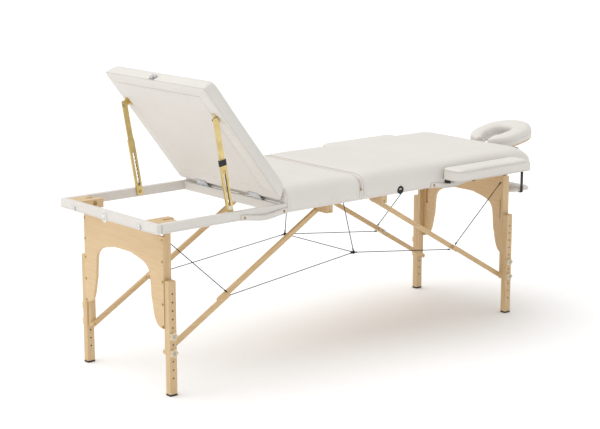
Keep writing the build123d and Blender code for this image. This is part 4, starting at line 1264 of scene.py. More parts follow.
@dataclass
class Backrest:
    """Lifting backrest: the cover round board and foam, its seams, catch and hinge screws."""

    half_width: float = 302.0
    length: float = 552.0
    thickness: float = 58.4
    angle: float = 52.0
    hinge: tuple[float, float] = (-515.3, 618.3)
    lining_start: float = 67.0
    lining_stop: float = 513.0
    lining_half: float = 248.5
    hinge_places: tuple[float, ...] = (-158.0, 158.0)

    def matrix(self) -> Matrix:
        """Turns lengths along the backrest and heights off its underside into places.

        Returns:
            The matrix from the backrest's own axes to the frame's.
        """
        tilt = math.radians(self.angle)
        along = Vector((-math.cos(tilt), 0, math.sin(tilt)))
        up = Vector((math.sin(tilt), 0, math.cos(tilt)))
        side = up.cross(along)
        turned = Matrix((along, side, up)).transposed().to_4x4()
        return Matrix.Translation(Vector((self.hinge[0], 0, self.hinge[1])) * MM) @ turned

    def start_of_length(self, height: float) -> float:
        """Where the bevel at the hinge starts.

        Args:
            height: off the underside, in millimetres.

        Returns:
            The length along the backrest, in millimetres.
        """
        if height < 9.0:
            return 8.5 + height * 0.25
        return 10.7 + (height - 9.0) * 0.77

    def build(self) -> bpy.types.Object:
        """Builds the cover with its seams.

        Returns:
            The cover.
        """
        shape = BlockShape((10.0, self.length), (-self.half_width, self.half_width),
                           (0.4, self.thickness), (3.0, 20.0), (24.0, 24.0), (3.0, 5.0),
                           (6.0, 22.0), 3.0, self.start_of_length)
        pleats = tuple(
            Pleat((length, side.value * 302.0, 30.0), (length - 40, side.value * 262.0, 52.0),
                  2.2, 9.0) for side in Side for length in (self.length, self.length - 12.0))
        padding = Padding(voxel=8.0, cap=4.0, ripple=0.7, free=self.free_to_swell, pleats=pleats)
        mesh = padding.finished(shape.mesh("backrest_pad"))
        mesh.transform(self.matrix())
        piece = finish_piece("backrest_cover", mesh, Finishes.cover, "backrest", "upholstery",
                             "backrest_pad", "backrest_board")
        self.sew(piece)
        self.add_hardware()
        return piece

    def free_to_swell(self, point: Vector) -> float:
        """How much of its swelling a point may show: none on the underside or by the hinge."""
        return smoothstep(point.z / MM, 6, 34) * smoothstep(point.x / MM, 50, 130)

    def place(self, along: float, across: float, height: float) -> Vector:
        """Place of a point that is given in the backrest's own millimetres."""
        return self.matrix() @ (Vector((along, across, height)) * MM)

    def sew(self, cover: bpy.types.Object) -> None:
        """Lays the edge cords, the mitred corners and the seam round the lining.

        Args:
            cover: the finished cover.
        """
        finder = SurfaceFinder(cover)
        reach = self.half_width
        rim = [(12, -reach), (self.length, -reach), (self.length, reach), (12, reach)]
        edges = [evenly([self.place(a, c, 6.0) for a, c in rim], 7 * MM)]
        cords = [finder.lay(edges[0], 0.2 * MM)]
        for side in Side:
            mitre = [self.place(self.length, side.value * reach, 1),
                     self.place(516, side.value * 250, 0)]
            cords.append(finder.lay(evenly(mitre, 6 * MM), -0.65 * MM))
        cord_piece("backrest_edge_cord", cords, 0.9 * MM, Finishes.piping, "backrest", "upholstery")
        start, stop, half = self.lining_start, self.lining_stop, self.lining_half
        inner = [(start, -half), (stop, -half), (stop, half), (start, half), (start, -half)]
        seam = evenly([self.place(a, c, 0.0) for a, c in inner], 7 * MM)
        cord_piece("lining_cord", [seam], 0.9 * MM, Finishes.lining, "backrest", "upholstery")
        free = [((72, -242), (412, -242)), ((72, 242), (412, 242)), ((72, -242), (72, 242)),
                ((509, -194), (509, 194))]
        rows = [evenly([self.place(*first, -1.4), self.place(*last, -1.4)], 7 * MM)
                for first, last in free]
        stitch_piece("lining_stitches", rows, "backrest", "backing")

    def add_hardware(self) -> None:
        """Adds the screws of the hinges and the catch."""
        bm = bmesh.new()
        down = (self.place(0, 0, -1) - self.place(0, 0, 0)).normalized()
        for hinge_y in self.hinge_places:
            for offset in (-24.0, 0.0, 24.0):
                add_turned(bm, self.place(22, hinge_y + offset, -1.4), down,
                           COUNTERSUNK_SCREW, 14)
        out = (self.place(1, 0, 0) - self.place(0, 0, 0)).normalized()
        for across in (-24.0, 0.0):
            add_turned(bm, self.place(self.length + 1.8, across, 27), out, SMALL_SCREW, 14)
        finish_piece("backrest_screws", mesh_from("backrest_screws", bm), Finishes.steel, "backrest",
                     "bright_steel")


@dataclass
class Armrest:
    """Armrest pad with its piping."""

    side: Side
    x: tuple[float, float] = (269.0, 661.5)
    reach: tuple[float, float] = (307.0, 404.5)
    z: tuple[float, float] = (611.4, 657.0)

    def build(self) -> bpy.types.Object:
        """Builds the pad with its seams.

        Returns:
            The pad's cover.
        """
        ends = sorted(self.side.value * r for r in self.reach)
        shape = BlockShape(self.x, tuple(ends), self.z, (7.0, 7.0), (7.0, 7.0), (24.0, 24.0),
                           (24.0, 24.0), 3.0)
        padding = Padding(voxel=5.0, cap=3.2, ripple=0.35, free=self.free_to_swell)
        body = f"armrest_{self.side.word}"
        piece = finish_piece(f"{body}_cover", padding.finished(shape.mesh(body)), Finishes.cover,
                             body, "upholstery", f"{body}_pad")
        finder = SurfaceFinder(piece)
        lines = []
        for height in (self.z[1] - 5.5, self.z[0] + 4.0):
            loop = shape.ring(height)
            loop = evenly([*loop, loop[0]], 6 * MM)
            lines.append(finder.lay(loop, 0.3 * MM))
        cord_piece(f"{body}_piping", lines, 1.3 * MM, Finishes.piping, body, "upholstery")
        rows = [finder.lay(evenly([*shape.ring(self.z[1] - 10.5), shape.ring(self.z[1] - 10.5)[0]],
                                  6 * MM), 0.2 * MM)]
        stitch_piece(f"{body}_stitches", rows, body, "upholstery")
        self.add_screws(body)
        return piece

    def free_to_swell(self, point: Vector) -> float:
        """How much of its swelling a point may show: none on the bottom or by the bed."""
        inner = abs(point.y) / MM - self.reach[0]
        return smoothstep(point.z / MM, self.z[0] + 2, self.z[0] + 18) * smoothstep(inner, 2, 20)

    def add_screws(self, body: str) -> None:
        """Adds the screws that hold the bar under the pad.

        Args:
            body: the armrest's CAD body.
        """
        bm = bmesh.new()
        for x in (300.0, 380.0, 520.0):
            add_turned(bm, Vector((x, self.side.value * 329.0, 608.2)) * MM, Vector((0, 0, -1)),
                       PAN_SCREW, 16)
        finish_piece(f"{body}_screws", mesh_from(body, bm), Finishes.steel, body, "black_steel")


@dataclass
class FaceCradle:
    """Horseshoe pad of the face cradle and its seams."""

    centre: tuple[float, float] = (920.7, 705.0)
    tilt: float = 11.0
    thickness: float = 49.0
    stations: int = 60
    middle_shift: float = 10.0
    outline_half: float = 15.0
    outline_radius: float = 120.0
    opening_centre: float = -22.0
    opening_half: float = 17.0
    opening_radius: float = 45.0
    throat_start: float = -30.0
    throat_half: float = 14.0
    arm_ends: float = 163.0

    def matrix(self) -> Matrix:
        """Turns the pad's own plane into its place on the table.

        Returns:
            The matrix from the pad's own axes to the frame's.
        """
        tilt = math.radians(self.tilt)
        along = Vector((math.cos(tilt), 0, math.sin(tilt)))
        up = Vector((-math.sin(tilt), 0, math.cos(tilt)))
        turned = Matrix((along, up.cross(along), up)).transposed().to_4x4()
        return Matrix.Translation(Vector((self.centre[0], 0, self.centre[1])) * MM) @ turned

    @staticmethod
    def in_slot(x: float, y: float, centre: float, half: float, radius: float) -> bool:
        """Whether a point is inside a slot along X."""
        return math.hypot(max(abs(x - centre) - half, 0.0), y) < radius

    def covers(self, x: float, y: float) -> bool:
        """Whether the pad is at a place of its own plane.

        Args:
            x: along the table, in millimetres.
            y: across it, in millimetres.

        Returns:
            True inside the outline and outside the opening and the throat.
        """
        outline = self.in_slot(x, y, 0.0, self.outline_half, self.outline_radius)
        opening = self.in_slot(x, y, self.opening_centre, self.opening_half, self.opening_radius)
        throat = x < self.throat_start and abs(y) < self.throat_half
        return outline and not opening and not throat

    def radii(self, angle: float) -> tuple[float, float]:
        """How far the pad reaches from its middle.

        Args:
            angle: direction from the pad's middle.

        Returns:
            The distances of its inner and outer outline, in millimetres.
        """
        cos, sin = math.cos(angle), math.sin(angle)
        steps = np.arange(1.0, 150.0, 0.5)
        kept = steps[np.array([self.covers(r * cos - self.middle_shift, r * sin) for r in steps])]
        return float(kept.min()), float(kept.max())

    def section(self, angle: float, shrink: float) -> list[Vector]:
        """Rounded cross-section of the pad in a direction.

        Args:
            angle: direction from the pad's middle.
            shrink: 0 where the section is full, up to 1 at the tip of an arm.

        Returns:
            The section's points, in the ring's own plane and metres.
        """
        inner, outer = self.radii(angle)
        middle, half = (inner + outer) / 2, (outer - inner) / 2 * (1 - 0.35 * shrink)
        tall = self.thickness / 2 * (1 - 0.3 * shrink)
        points = []
        for a in turns(28):
            upper = math.sin(a) > 0
            across = math.copysign(abs(math.cos(a)) ** (0.5 if upper else 0.28), math.cos(a)) * half
            power = 0.75 if upper else 0.28
            high = math.copysign(abs(math.sin(a)) ** power, math.sin(a)) * tall
            r = middle + across
            height = high - self.thickness / 2 - (self.thickness / 2 - tall) * 0.4
            points.append(Vector((r * math.cos(angle) - self.middle_shift, r * math.sin(angle),
                                  height)) * MM)
        return points

    def build(self) -> bpy.types.Object:
        """Builds the pad with its seams.

        Returns:
            The pad's cover.
        """
        limit = math.radians(self.arm_ends)
        bm = bmesh.new()
        rings = []
        for k in range(self.stations + 1):
            share = abs(2 * k / self.stations - 1)
            rings.append(self.section(limit * (2 * k / self.stations - 1),
                                      smoothstep(share, 0.9, 1.0)))
        add_rings(bm, rings)
        padding = Padding(voxel=5.0, cap=3.0, ripple=0.4,
                          free=lambda p: smoothstep(p.z / MM, -self.thickness, -self.thickness + 14))
        mesh = padding.finished(mesh_from("cradle_pad", bm))
        mesh.transform(self.matrix())
        piece = finish_piece("cradle_cover", mesh, Finishes.cover, "cradle_head", "upholstery",
                             "cradle_pad")
        self.sew(piece)
        return piece

    def sew(self, cover: bpy.types.Object) -> None:
        """Lays a seam along the outside and one along the inside.

        Args:
            cover: the finished pad.
        """
        finder = SurfaceFinder(cover)
        seams = []
        for which in (0, 1):
            line = []
            for k in range(181):
                angle = math.radians(150) * (k / 90 - 1)
                r = self.radii(angle)[which]
                flat = Vector((r * math.cos(angle) - self.middle_shift, r * math.sin(angle),
                               -26.0)) * MM
                line.append(self.matrix() @ flat)
            seams.append(finder.lay(line, 0.15 * MM))
        cord_piece("cradle_seams", seams, 0.9 * MM, Finishes.piping, "cradle_head", "upholstery")


@dataclass
class ArmShelf:
    """Hanging arm shelf: pad, edge seam, and the stitching of its straps."""

    x: tuple[float, float] = (719.5, 839.9)
    half_width: float = 261.2
    z: tuple[float, float] = (492.6, 508.6)

    def build(self) -> bpy.types.Object:
        """Builds the pad with its seams.

        Returns:
            The pad's cover.
        """
        shape = BlockShape(self.x, (-self.half_width, self.half_width), self.z, (6.0, 6.0),
                           (6.0, 6.0), (33.0, 33.0), (33.0, 33.0), 2.0)
        padding = Padding(voxel=4.5, cap=2.2, ripple=0.35,
                          free=lambda p: smoothstep(p.z / MM, self.z[0] + 1, self.z[0] + 9))
        piece = finish_piece("shelf_cover", padding.finished(shape.mesh("shelf")), Finishes.cover,
                             "arm_shelf", "upholstery", "shelf_pad")
        finder = SurfaceFinder(piece)
        loop = shape.ring(self.z[1] - 5.0)
        line = finder.lay(evenly([*loop, loop[0]], 6 * MM), 0.2 * MM)
        cord_piece("shelf_piping", [line], 1.0 * MM, Finishes.piping, "arm_shelf", "upholstery")
        rows = []
        for side in Side:
            y = side.value * 264.2
            for x in (768.0, 777.4):
                rows.append([Vector((x, y, z)) * MM for z in range(496, 572, 3)])
        stitch_piece("shelf_strap_stitches", rows, "arm_shelf", "black_webbing")
        return piece


# ---- straps, cables and small hardware -------------------------------------------------
@dataclass
class CarryStrap:
    """Folded carrying strap that sags between two screws on the near rail."""

    end: End
    x: tuple[float, float]
    screws: tuple[float, float]
    face: float = -302.9
    height: float = 593.4
    sag: float = 10.0
    half_width: float = 10.0

    def middle_line(self, share: float) -> tuple[float, float, float]:
        """Middle of the strap at a share of its length.

        Args:
            share: 0 at one end, 1 at the other.

        Returns:
            X, Z and the strap's thickness, in millimetres.
        """
        x = self.x[0] + (self.x[1] - self.x[0]) * share
        inside = (x - self.screws[0]) / (self.screws[1] - self.screws[0])
        bow = max(math.sin(math.pi * min(max(inside, 0.0), 1.0)), 0.0) ** 1.3
        return x, self.height - self.sag * bow, 2.6 + 3.0 * bow

    def section(self, share: float) -> list[Vector]:
        """Cross-section of the strap: two folded edges with a dip between them.

        Args:
            share: 0 at one end, 1 at the other.

        Returns:
            The section's points, in metres.
        """
        x, z, thick = self.middle_line(share)
        near_end = min(share, 1 - share)
        wide = self.half_width * (0.93 + 0.07 * smoothstep(near_end, 0.0, 0.04))
        points = []
        for a in turns(20):
            up = math.copysign(abs(math.cos(a)) ** 0.5, math.cos(a)) * wide
            dip = 0.75 + 0.25 * abs(math.cos(a))
            out = math.copysign(abs(math.sin(a)) ** 0.7, math.sin(a)) * thick / 2 * dip
            points.append(Vector((x, self.face - thick / 2 - out, z + up)) * MM)
        return points

    def build(self) -> bpy.types.Object:
        """Builds the strap with its stitches and screws.

        Returns:
            The strap.
        """
        body = f"{self.end.word}_half"
        name = f"{self.end.word}_strap"
        bm = bmesh.new()
        add_rings(bm, [self.section(k / 60) for k in range(61)])
        piece = finish_piece(name, mesh_from(name, bm), Finishes.strap, body, "webbing",
                             f"{self.end.word}_carry_strap")
        rows = []
        for offset in (-7.4, 7.4):
            run = []
            for k in range(2, 99):
                x, z, thick = self.middle_line(k / 100)
                run.append(Vector((x, self.face - thick * 0.97, z + offset)) * MM)
            rows.append(run)
        stitch_piece(f"{name}_stitches", rows, body, "webbing")
        bm = bmesh.new()
        for x in self.screws:
            seat = Vector((x, self.face - 2.4, self.height - 0.4)) * MM
            add_turned(bm, seat, Vector((0, -1, 0)), CUP_SCREW, 24)
        finish_piece(f"{name}_screws", mesh_from(name, bm), Finishes.brass, body, "brass_screws")
        return piece


@dataclass
class Cables:
    """Bracing cables, each straight between the places that hold its ends."""

    radius: float = 1.6
    crimp: float = 2.9
    crimp_length: float = 12.0
    pivot_distance: float = 833.5
    foot_height: float = 150.0
    angle: float = math.radians(30.29)
    pin: float = 311.0
    junction: tuple[float, float, float] = (-86.3, 203.7, 361.0)
    anchor: tuple[float, float, float] = (823.5, 229.5, 538.0)
    low_pin: tuple[float, float] = (11.5, 226.7)
    high_pin: tuple[float, float] = (-11.5, 214.4)
    far_hook: tuple[float, float, float] = (-60.3, 203.7, 618.0)
    near_hook: tuple[float, float, float] = (-146.3, -203.7, 584.5)

    def pin_place(self, end: End, side: Side, offset: float, across: float) -> Vector:
        """Finds a cable's end beside the knee of a brace.

        Args:
            end: end of the bed.
            side: side of the bed.
            offset: distance square to the brace from its middle, in millimetres.
            across: distance from the bed's middle, in millimetres.

        Returns:
            The place, in metres.
        """
        distance = self.pivot_distance - self.pin * math.cos(self.angle)
        height = self.foot_height + self.pin * math.sin(self.angle)
        x = from_fold((distance + offset * math.sin(self.angle)) * MM, end)
        return Vector((x, side.value * across * MM, (height + offset * math.cos(self.angle)) * MM))

    def mesh(self, name: str, start: Vector, stop: Vector, crimped: tuple[bool, bool],
             gap: float = 0.0) -> bpy.types.Mesh:
        """Builds one cable with its crimps.

        Args:
            name: the mesh's name.
            start: first end of the cable.
            stop: last end of the cable.
            crimped: whether a crimp holds the first and the last end.
            gap: free length beyond each crimped end, in millimetres.

        Returns:
            The cable's mesh.
        """
        run = (stop - start).normalized()
        first = start + run * (gap * MM if crimped[0] else 0.0)
        last = stop - run * (gap * MM if crimped[1] else 0.0)
        line = evenly([first, last], 12 * MM)
        bm = bmesh.new()
        add_rings(bm, tube_rings(line, self.radius * MM, 8))
        for held, place, way in ((crimped[0], first, run), (crimped[1], last, -run)):
            if held:
                steps = ((1.6, 0.0), (self.crimp, 0.8), (self.crimp, 4.2), (2.1, 5.2), (2.1, 6.4),
                         (self.crimp, 7.4), (self.crimp, 11.2), (1.6, self.crimp_length))
                add_turned(bm, place, way, steps, 14)
        return mesh_from(name, bm)

    def bent(self, name: str, start: Vector, stop: Vector, bodies: tuple[str, str],
             crimped: tuple[bool, bool], gap: float, *replaced: str) -> None:
        """Builds a cable between two points, attached to no body.

        Args:
            name: the piece's name.
            start: first end of the cable.
            stop: last end of the cable.
            bodies: the CAD bodies that hold the first and last end; not used.
            crimped: whether a crimp holds the first and the last end.
            gap: free length beyond each crimped end, in millimetres.
            replaced: CAD nodes that it stands for.
        """
        piece = finish_piece(name, self.mesh(name, start, stop, crimped, gap), Finishes.cable, None,
                             "steel_cable", *replaced)
        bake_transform(piece)

    def fixed(self, name: str, start: Vector, stop: Vector, body: str) -> None:
        """Builds a cable that one body holds at both ends."""
        finish_piece(name, self.mesh(name, start, stop, (True, True), 4.0), Finishes.cable, body,
                     "steel_cable")

    def build(self) -> None:
        """Builds every cable under the bed."""
        for side in Side:
            junction = Vector((self.junction[0], side.value * self.junction[1],
                               self.junction[2])) * MM
            for end in End:
                along, across, height = (size * MM for size in self.anchor)
                anchor = Vector((from_fold(along, end), side.value * across, height))
                low_pin = self.pin_place(end, side, *self.low_pin)
                tag = f"{end.word}_{side.word}"
                self.bent(f"{tag}_leg_cable", anchor, low_pin,
                          (f"{end.word}_leg", f"{end.word}_brace_lower"), (True, True), 0.0,
                          f"{end.word}_cables")
                high_pin = self.pin_place(end, side, *self.high_pin)
                if end is End.HEAD:
                    self.bent(f"{tag}_span_cable", junction, high_pin,
                              ("head_half", "head_brace_upper"), (True, True), 4.0)
                else:
                    share = (FOLD.x - high_pin.x) / (junction.x - high_pin.x)
                    split = high_pin.lerp(junction, share)
                    self.bent(f"{tag}_span_cable", high_pin, split,
                              ("foot_brace_upper", "foot_half"), (True, False), 4.0)
                    self.bent(f"{tag}_fold_cable", split, junction, ("foot_half", "head_half"),
                              (False, True), 4.0)
        near, far = (Vector((self.junction[0], s * self.junction[1], self.junction[2])) * MM
                     for s in (-1, 1))
        self.fixed("cross_cable", near, far, "head_half")
        self.fixed("far_tie", far, Vector(self.far_hook) * MM, "head_half")
        self.bent("near_tie", near, Vector(self.near_hook) * MM, ("head_half", "foot_half"),
                  (True, True), 4.0)
        bm = bmesh.new()
        for junction in (near, far):
            add_turned(bm, junction - Vector((0, 0, 4.5 * MM)), Vector((0, 0, 1)), CABLE_KNOT, 18)
            ring = [junction + Vector((math.cos(a), 0, math.sin(a))) * (6.0 * MM)
                    for a in turns(30)]
            add_rings(bm, tube_rings([*ring, ring[0], ring[1]], 1.1 * MM, 8))
        finish_piece("cable_knots", mesh_from("cable_knots", bm), Finishes.cable, "head_half",
                     "steel_cable")


@dataclass
class LegHardware:
    """Screws, knob caps and ribs on the feet of one end's legs."""

    end: End
    screw_heights: tuple[float, ...] = (243.0, 322.0, 402.0, 472.0, 548.0)
    screw_y: float = 239.2
    panel_face: float = 855.0
    board_middle: float = 836.85
    knob_heights: tuple[float, ...] = (153.0, 213.0)
    knob_face: float = 279.0

    def build(self) -> None:
        """Builds everything on this end's legs."""
        out = Vector((self.end.value, 0, 0))
        bm = bmesh.new()
        for side in Side:
            for height in self.screw_heights:
                seat = Vector((from_fold(self.panel_face * MM, self.end),
                               side.value * self.screw_y * MM, height * MM))
                add_turned(bm, seat, out, PANEL_SCREW, 18)
        name = f"{self.end.word}_panel_screws"
        finish_piece(name, mesh_from(name, bm), Finishes.brass, f"{self.end.word}_leg", "brass_screws")
        self.add_knob_caps()
        self.add_foot_ribs()

    def add_knob_caps(self) -> None:
        """Adds a hub and a nut to every star knob."""
        hubs, nuts = bmesh.new(), bmesh.new()
        x = from_fold(self.board_middle * MM, self.end)
        for side in Side:
            out = Vector((0, side.value, 0))
            for height in self.knob_heights:
                face = Vector((x, side.value * self.knob_face * MM, height * MM))
                add_turned(hubs, face, out, KNOB_HUB, 30)
                add_turned(nuts, face, out, KNOB_NUT, 6)
        body = f"{self.end.word}_leg"
        name = f"{self.end.word}_knob_hubs"
        finish_piece(name, mesh_from(name, hubs), Finishes.cream, body, "knob_plastic")
        name = f"{self.end.word}_knob_nuts"
        finish_piece(name, mesh_from(name, nuts), Finishes.steel, body, "bright_steel")

    def add_foot_ribs(self) -> None:
        """Adds grip ribs round the rubber feet."""
        bm = bmesh.new()
        x = from_fold(self.board_middle * MM, self.end)
        for side in Side:
            y = side.value * 258.55 * MM
            for height in (1.8, 3.3, 4.8):
                loop = []
                for corner, first in (((1, 1), 0), ((-1, 1), 90), ((-1, -1), 180), ((1, -1), 270)):
                    for step in range(5):
                        a = math.radians(first + 22.5 * step)
                        loop.append(Vector((x + (corner[0] * 13.3 + 2.4 * math.cos(a)) * MM,
                                            y + (corner[1] * 10.6 + 2.4 * math.sin(a)) * MM,
                                            height * MM)))
                add_rings(bm, tube_rings([*loop, loop[0]], 0.5 * MM, 6))
        name = f"{self.end.word}_foot_ribs"
        finish_piece(name, mesh_from(name, bm), Finishes.rubber, f"{self.end.word}_leg_boards",
                     "rubber_feet")


@dataclass
class FrameHardware:
    """Grommets, rail seams, the catch's plate, stay caps and other small frame pieces."""

    cover_face: float = 302.7
    grommet: tuple[float, float] = (59.1, 597.0)
    rod_sleeve: tuple[float, float, float] = (780.6, 95.0, 601.0)
    rail_corner: float = -1032.0
    rail_face: float = 301.2
    rail_inside: float = 281.0
    end_face: float = -1054.6
    stay_foot: tuple[float, float, float] = (-725.3, 0.0, 605.0)
    stay_lean: float = 100.06
    stay_face: float = 279.57
    slot: tuple[float, float] = (25.0, 160.0)
    slot_radius: float = 4.3
    teeth: int = 9
    first_tooth: float = 30.0
    tooth_pitch: float = 14.4
    tooth_radius: float = 5.9
    brace_hanger: tuple[float, float, float] = (135.0, 205.0, 558.0)
    knob_grips: int = 16
    knob_radius: float = 12.0

    def build(self) -> None:
        """Builds every piece."""
        self.add_grommets()
        self.add_rod_sleeves()
        self.add_rail_seams()
        self.add_catch_plate()
        self.add_stay_fittings()
        self.add_brace_washers()
        self.add_cradle_grip()

    def add_grommets(self) -> None:
        """Adds a rolled ring round each open bush of the armrests."""
        bm = bmesh.new()
        for side in Side:
            seat = Vector((self.grommet[0], side.value * self.cover_face, self.grommet[1])) * MM
            add_turned(bm, seat, Vector((0, side.value, 0)), GROMMET, 40)
        finish_piece("armrest_grommets", mesh_from("grommets", bm), Finishes.black, "head_half",
                     "black_plastic")

    def add_rod_sleeves(self) -> None:
        """Adds the plates that the cradle's rods pass through."""
        bm = bmesh.new()
        for side in Side:
            x, y, z = self.rod_sleeve
            seat = Vector((x, side.value * y, z)) * MM
            rings = []
            for radius, height in ROD_SLEEVE:
                rings.append([seat + MM * Vector((height, radius * math.cos(a),
                                                  radius * math.sin(a))) for a in turns(36)])
            add_rings(bm, rings, looped=True)
        finish_piece("rod_sleeves", mesh_from("rod_sleeves", bm), Finishes.black, "head_half",
                     "black_plastic")

    def add_rail_seams(self) -> None:
        """Adds the wrapped rails' seams, where side rails meet the end rail."""
        loops, rows = [], []
        for side in Side:
            x = self.rail_corner
            y = side.value * self.rail_face
            corner = [Vector((x, y, 585.5)), Vector((x, y, 617.2)),
                      Vector((x, side.value * self.rail_inside, 617.8))]
            loops.append([p * MM for p in evenly(corner, 4.0)])
            low = [Vector((-1020.0, y, 590.0)), Vector((-702.0, y, 590.0))]
            rows.append([p * MM for p in evenly(low, 6.0)])
        cord_piece("rail_corner_seams", loops, 0.6 * MM, Finishes.piping, "foot_half", "rail_wrap")
        stitch_piece("rail_stitches", rows, "foot_half", "rail_wrap")
        rows = [[Vector((self.end_face, y, 589.5)) * MM for y in range(-292, 293, 6)]]
        stitch_piece("end_rail_stitches", rows, "foot_half", "rail_wrap")

    def add_catch_plate(self) -> None:
        """Adds the oval keeper of the catch, with a lip and two screws."""
        bm = bmesh.new()
        rings = []
        for x, grow in ((-1054.2, 0.0), (-1056.6, 0.0), (-1057.6, -1.0), (-1057.9, -3.2),
                        (-1056.7, -4.4), (-1056.3, -8.5)):
            ring = []
            for a in turns(40):
                straight = 7.0 if math.sin(a) > 0 else -7.0
                ring.append(Vector((x, 12 + (13.0 + grow) * math.cos(a),
                                    596 + straight + (13.0 + grow) * math.sin(a))) * MM)
            rings.append(ring)
        add_rings(bm, rings)
        add_slab(bm, Vector((-1061.0, 3, 597)) * MM, Vector((-1055.0, 21, 603)) * MM, 1.2 * MM)
        finish_piece("catch_keeper", mesh_from("catch_keeper", bm), Finishes.white, "foot_half",
                     "white_plastic", "end_latch_keeper")
        screws = bmesh.new()
        for y, z, x in ((12, 588, -1056.4), (12, 609, -1056.4), (-200, 595, -1061.2),
                        (206, 595, -1061.2)):
            add_turned(screws, Vector((x, y, z)) * MM, Vector((-1, 0, 0)), RAIL_SCREW, 16)
        finish_piece("end_rail_screws", mesh_from("end_screws", screws), Finishes.steel,
                     "foot_half", "bright_steel")

    def add_stay_fittings(self) -> None:
        """Adds the round cover over each stay's lower pivot and the rim of its slot."""
        lean = math.radians(self.stay_lean)
        along = Vector((math.cos(lean), 0, math.sin(lean)))
        square = Vector((-along.z, 0, along.x))
        foot = Vector(self.stay_foot) * MM
        outline = self.slot_outline()
        domes, rims = bmesh.new(), []
        for side in Side:
            out = Vector((0, side.value, 0))
            face = foot + along * (26.5 * MM) + out * ((self.stay_face + 0.05) * MM)
            add_turned(domes, face, out, PIVOT_COVER, 28)
            rims.append([foot + along * (s * MM) + square * (t * MM) + out * (self.stay_face * MM)
                         for s, t in outline])
        finish_piece("stay_pivot_covers", mesh_from("stay_domes", domes), Finishes.white,
                     "stay_channels", "zinc_steel")
        cord_piece("stay_slot_rims", rims, 0.3 * MM, Finishes.zinc, "stay_channels", "zinc_steel")

    def slot_outline(self) -> list[tuple[float, float]]:
        """Outline of a stay's toothed slot.

        Returns:
            Lengths along the stay and distances square to it, in millimetres.
        """
        start, stop = self.slot
        r = self.slot_radius
        outline = [(stop + r * math.cos(a), r * math.sin(a))
                   for a in (math.pi * (k / 12 - 0.5) for k in range(13))]
        for tooth in reversed(range(self.teeth)):
            middle = self.first_tooth + tooth * self.tooth_pitch
            outline += [(middle + self.tooth_radius * math.cos(a),
                         1.5 + self.tooth_radius * math.sin(a))
                        for a in (math.pi * (0.2 + 0.12 * k) for k in range(6))]
        outline += [(start - r * math.sin(a), r * math.cos(a))
                    for a in (math.pi * (0.15 + k / 14) for k in range(13))]
        return [*outline, (stop, -r)]

    def add_brace_washers(self) -> None:
        """Adds washers and domed nuts at the frame ends of the braces."""
        for end in End:
            bm = bmesh.new()
            for side in Side:
                along, across, height = (size * MM for size in self.brace_hanger)
                seat = Vector((from_fold(along, end), side.value * across, height))
                add_turned(bm, seat, Vector((0, -side.value, 0)), DOMED_NUT, 24)
            name = f"{end.word}_brace_nuts"
            finish_piece(name, mesh_from(name, bm), Finishes.steel, f"{end.word}_half", "brass_screws")

    def add_cradle_grip(self) -> None:
        """Adds finger ribs round the cradle's tilt knob."""
        low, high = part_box("cradle_lock")
        middle = (low + high) / 2
        bm = bmesh.new()
        reach = self.knob_radius * MM
        for a in turns(self.knob_grips):
            centre = Vector((middle.x + reach * math.cos(a), 0, middle.z + reach * math.sin(a)))
            path = [Vector((centre.x, y * MM, centre.z)) for y in (-113.5, -112.0, -99.0, -97.5)]
            add_rings(bm, tube_rings(path, 1.3 * MM, 8))
        finish_piece("cradle_knob_ribs", mesh_from("cradle_knob_ribs", bm), Finishes.black,
                     "cradle_base", "black_plastic")


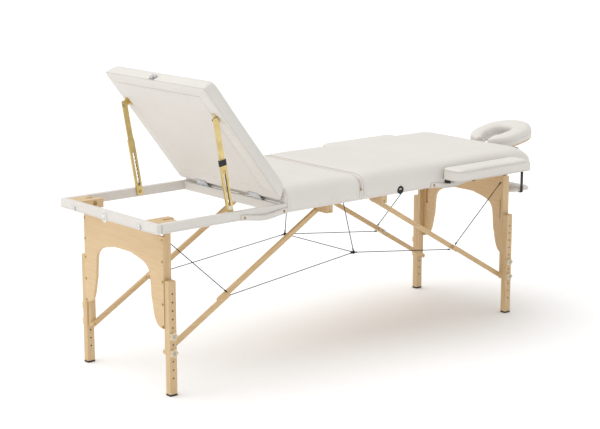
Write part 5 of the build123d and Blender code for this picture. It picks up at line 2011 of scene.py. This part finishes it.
# ---- camera, light and floor -------------------------------------------------------------
@dataclass
class Studio:
    """White studio: floor, soft lights and the camera."""

    place: tuple[float, float, float] = (-4.1348, -4.7039, 1.8007)
    yaw: float = 49.938
    pitch: float = 12.075
    lens: float = 98.908
    ambient: float = 0.74
    seen: float = 1.05
    sun: float = 1.42
    sun_spread: float = 70.0
    sun_turn: tuple[float, float] = (-16.0, -15.0)
    side_light: tuple[float, float, float] = (-3.6, 0.9, 0.7)
    side_aim: tuple[float, float, float] = (-0.7, 0.0, 0.7)
    side_size: float = 2.0
    side_power: float = 7.0

    def build(self) -> None:
        """Sets up everything that isn't the table."""
        self.add_world()
        self.add_floor()
        self.add_sun()
        self.add_light("foot_end", self.side_light, self.side_aim, self.side_size,
                       self.side_power)
        self.add_camera()
        bpy.context.scene.view_settings.view_transform = "Standard"

    def add_world(self) -> None:
        """Sets the surroundings: pure white to look at, softer as a light."""
        world = bpy.data.worlds.new("studio")
        world.use_nodes = True
        bpy.context.scene.world = world
        nodes = world.node_tree.nodes
        links = world.node_tree.links
        background = nodes["Background"]
        background.inputs["Color"].default_value = (1.0, 1.0, 1.0, 1.0)
        path = nodes.new("ShaderNodeLightPath")
        strength = nodes.new("ShaderNodeMapRange")
        strength.inputs["To Min"].default_value = self.ambient
        strength.inputs["To Max"].default_value = self.seen
        links.new(path.outputs["Is Camera Ray"], strength.inputs["Value"])
        links.new(strength.outputs["Result"], background.inputs["Strength"])

    def add_sun(self) -> None:
        """Adds an even, very soft light from above, so the floor stays white."""
        light = bpy.data.lights.new("sky_panel", "SUN")
        light.energy = self.sun
        light.angle = math.radians(self.sun_spread)
        lamp = placed("sky_panel", light)
        lamp.rotation_euler = (*(math.radians(turn) for turn in self.sun_turn), 0)

    def add_floor(self) -> None:
        """Adds the plain pale floor."""
        bm = bmesh.new()
        bmesh.ops.create_grid(bm, x_segments=1, y_segments=1, size=30.0)
        floor = placed("floor", mesh_from("floor", bm))
        floor.location.z = -0.0006
        material = bpy.data.materials.new("floor")
        material.use_nodes = True
        shader = material.node_tree.nodes["Principled BSDF"]
        shader.inputs["Base Color"].default_value = (1.0, 1.0, 1.0, 1.0)
        shader.inputs["Roughness"].default_value = 1.0
        shader.inputs["Specular IOR Level"].default_value = 0.0
        floor.data.materials.append(material)

    def add_light(self, name: str, place: tuple[float, float, float],
                  aim: tuple[float, float, float], size: float, power: float) -> None:
        """Adds a square soft light that looks at a point.

        Args:
            name: the light's name.
            place: where it stands.
            aim: the point it looks at.
            size: side of the square.
            power: in watts.
        """
        light = bpy.data.lights.new(name, "AREA")
        light.shape = "SQUARE"
        light.size = size
        light.energy = power
        lamp = placed(name, light)
        lamp.location = place
        lamp.rotation_euler = (Vector(aim) - Vector(place)).to_track_quat("-Z", "Y").to_euler()

    def add_camera(self) -> None:
        """Puts the camera where the whole table is seen from its foot end."""
        camera = bpy.data.cameras.new("camera")
        camera.lens = self.lens
        camera.sensor_width = 36.0
        view = placed("camera", camera)
        view.location = self.place
        view.rotation_euler = (math.radians(90 - self.pitch), 0, math.radians(self.yaw - 90))
        bpy.context.scene.camera = view


def build_cushions() -> None:
    """Builds every padded piece."""
    fold_pleats = tuple(
        Pleat((x, side.value * 302.7, 660.0), (x, side.value * 302.7, 588.0), 1.6, 7.0)
        for side in Side for x in (-478.0, -160.0))
    FixedCushion(End.FOOT, (-500.0, -138.9), "middle_pad", (7.0, 7.0), (12.0, 10.0), False,
                 fold_pleats).build()
    head_pleats = tuple(
        Pleat((x, side.value * 302.7, z), (x, side.value * 302.7, 588.0), 1.8, 8.0)
        for side in Side for x, z in ((-112.0, 655.0), (738.0, 640.0)))
    corner_pleats = tuple(
        Pleat((779.0 - back, side.value * 301.0, 626.0), (752.0 - back, side.value * 272.0, 676.0),
              2.0, 8.0) for side in Side for back in (0.0, 16.0))
    FixedCushion(End.HEAD, (-135.7, 780.2), "head_pad", (7.0, 42.0), (10.0, 40.0), True,
                 head_pleats + corner_pleats).build()
    Backrest().build()
    for side in Side:
        Armrest(side).build()
    FaceCradle().build()
    ArmShelf().build()


def build_straps_and_cables() -> None:
    """Builds the carrying straps and the bracing cables."""
    CarryStrap(End.FOOT, (-700.5, -493.1), (-685.3, -508.3)).build()
    CarryStrap(End.HEAD, (218.5, 425.9), (233.7, 410.7)).build()
    Cables().build()


def main() -> None:
    """Builds the looks of the whole table."""
    logging.basicConfig(level=logging.INFO, format="%(name)s: %(message)s")
    dress_cad_nodes()
    build_cushions()
    build_straps_and_cables()
    for end in End:
        LegHardware(end).build()
    FrameHardware().build()
    Studio().build()


if __name__ == "__main__":
    main()
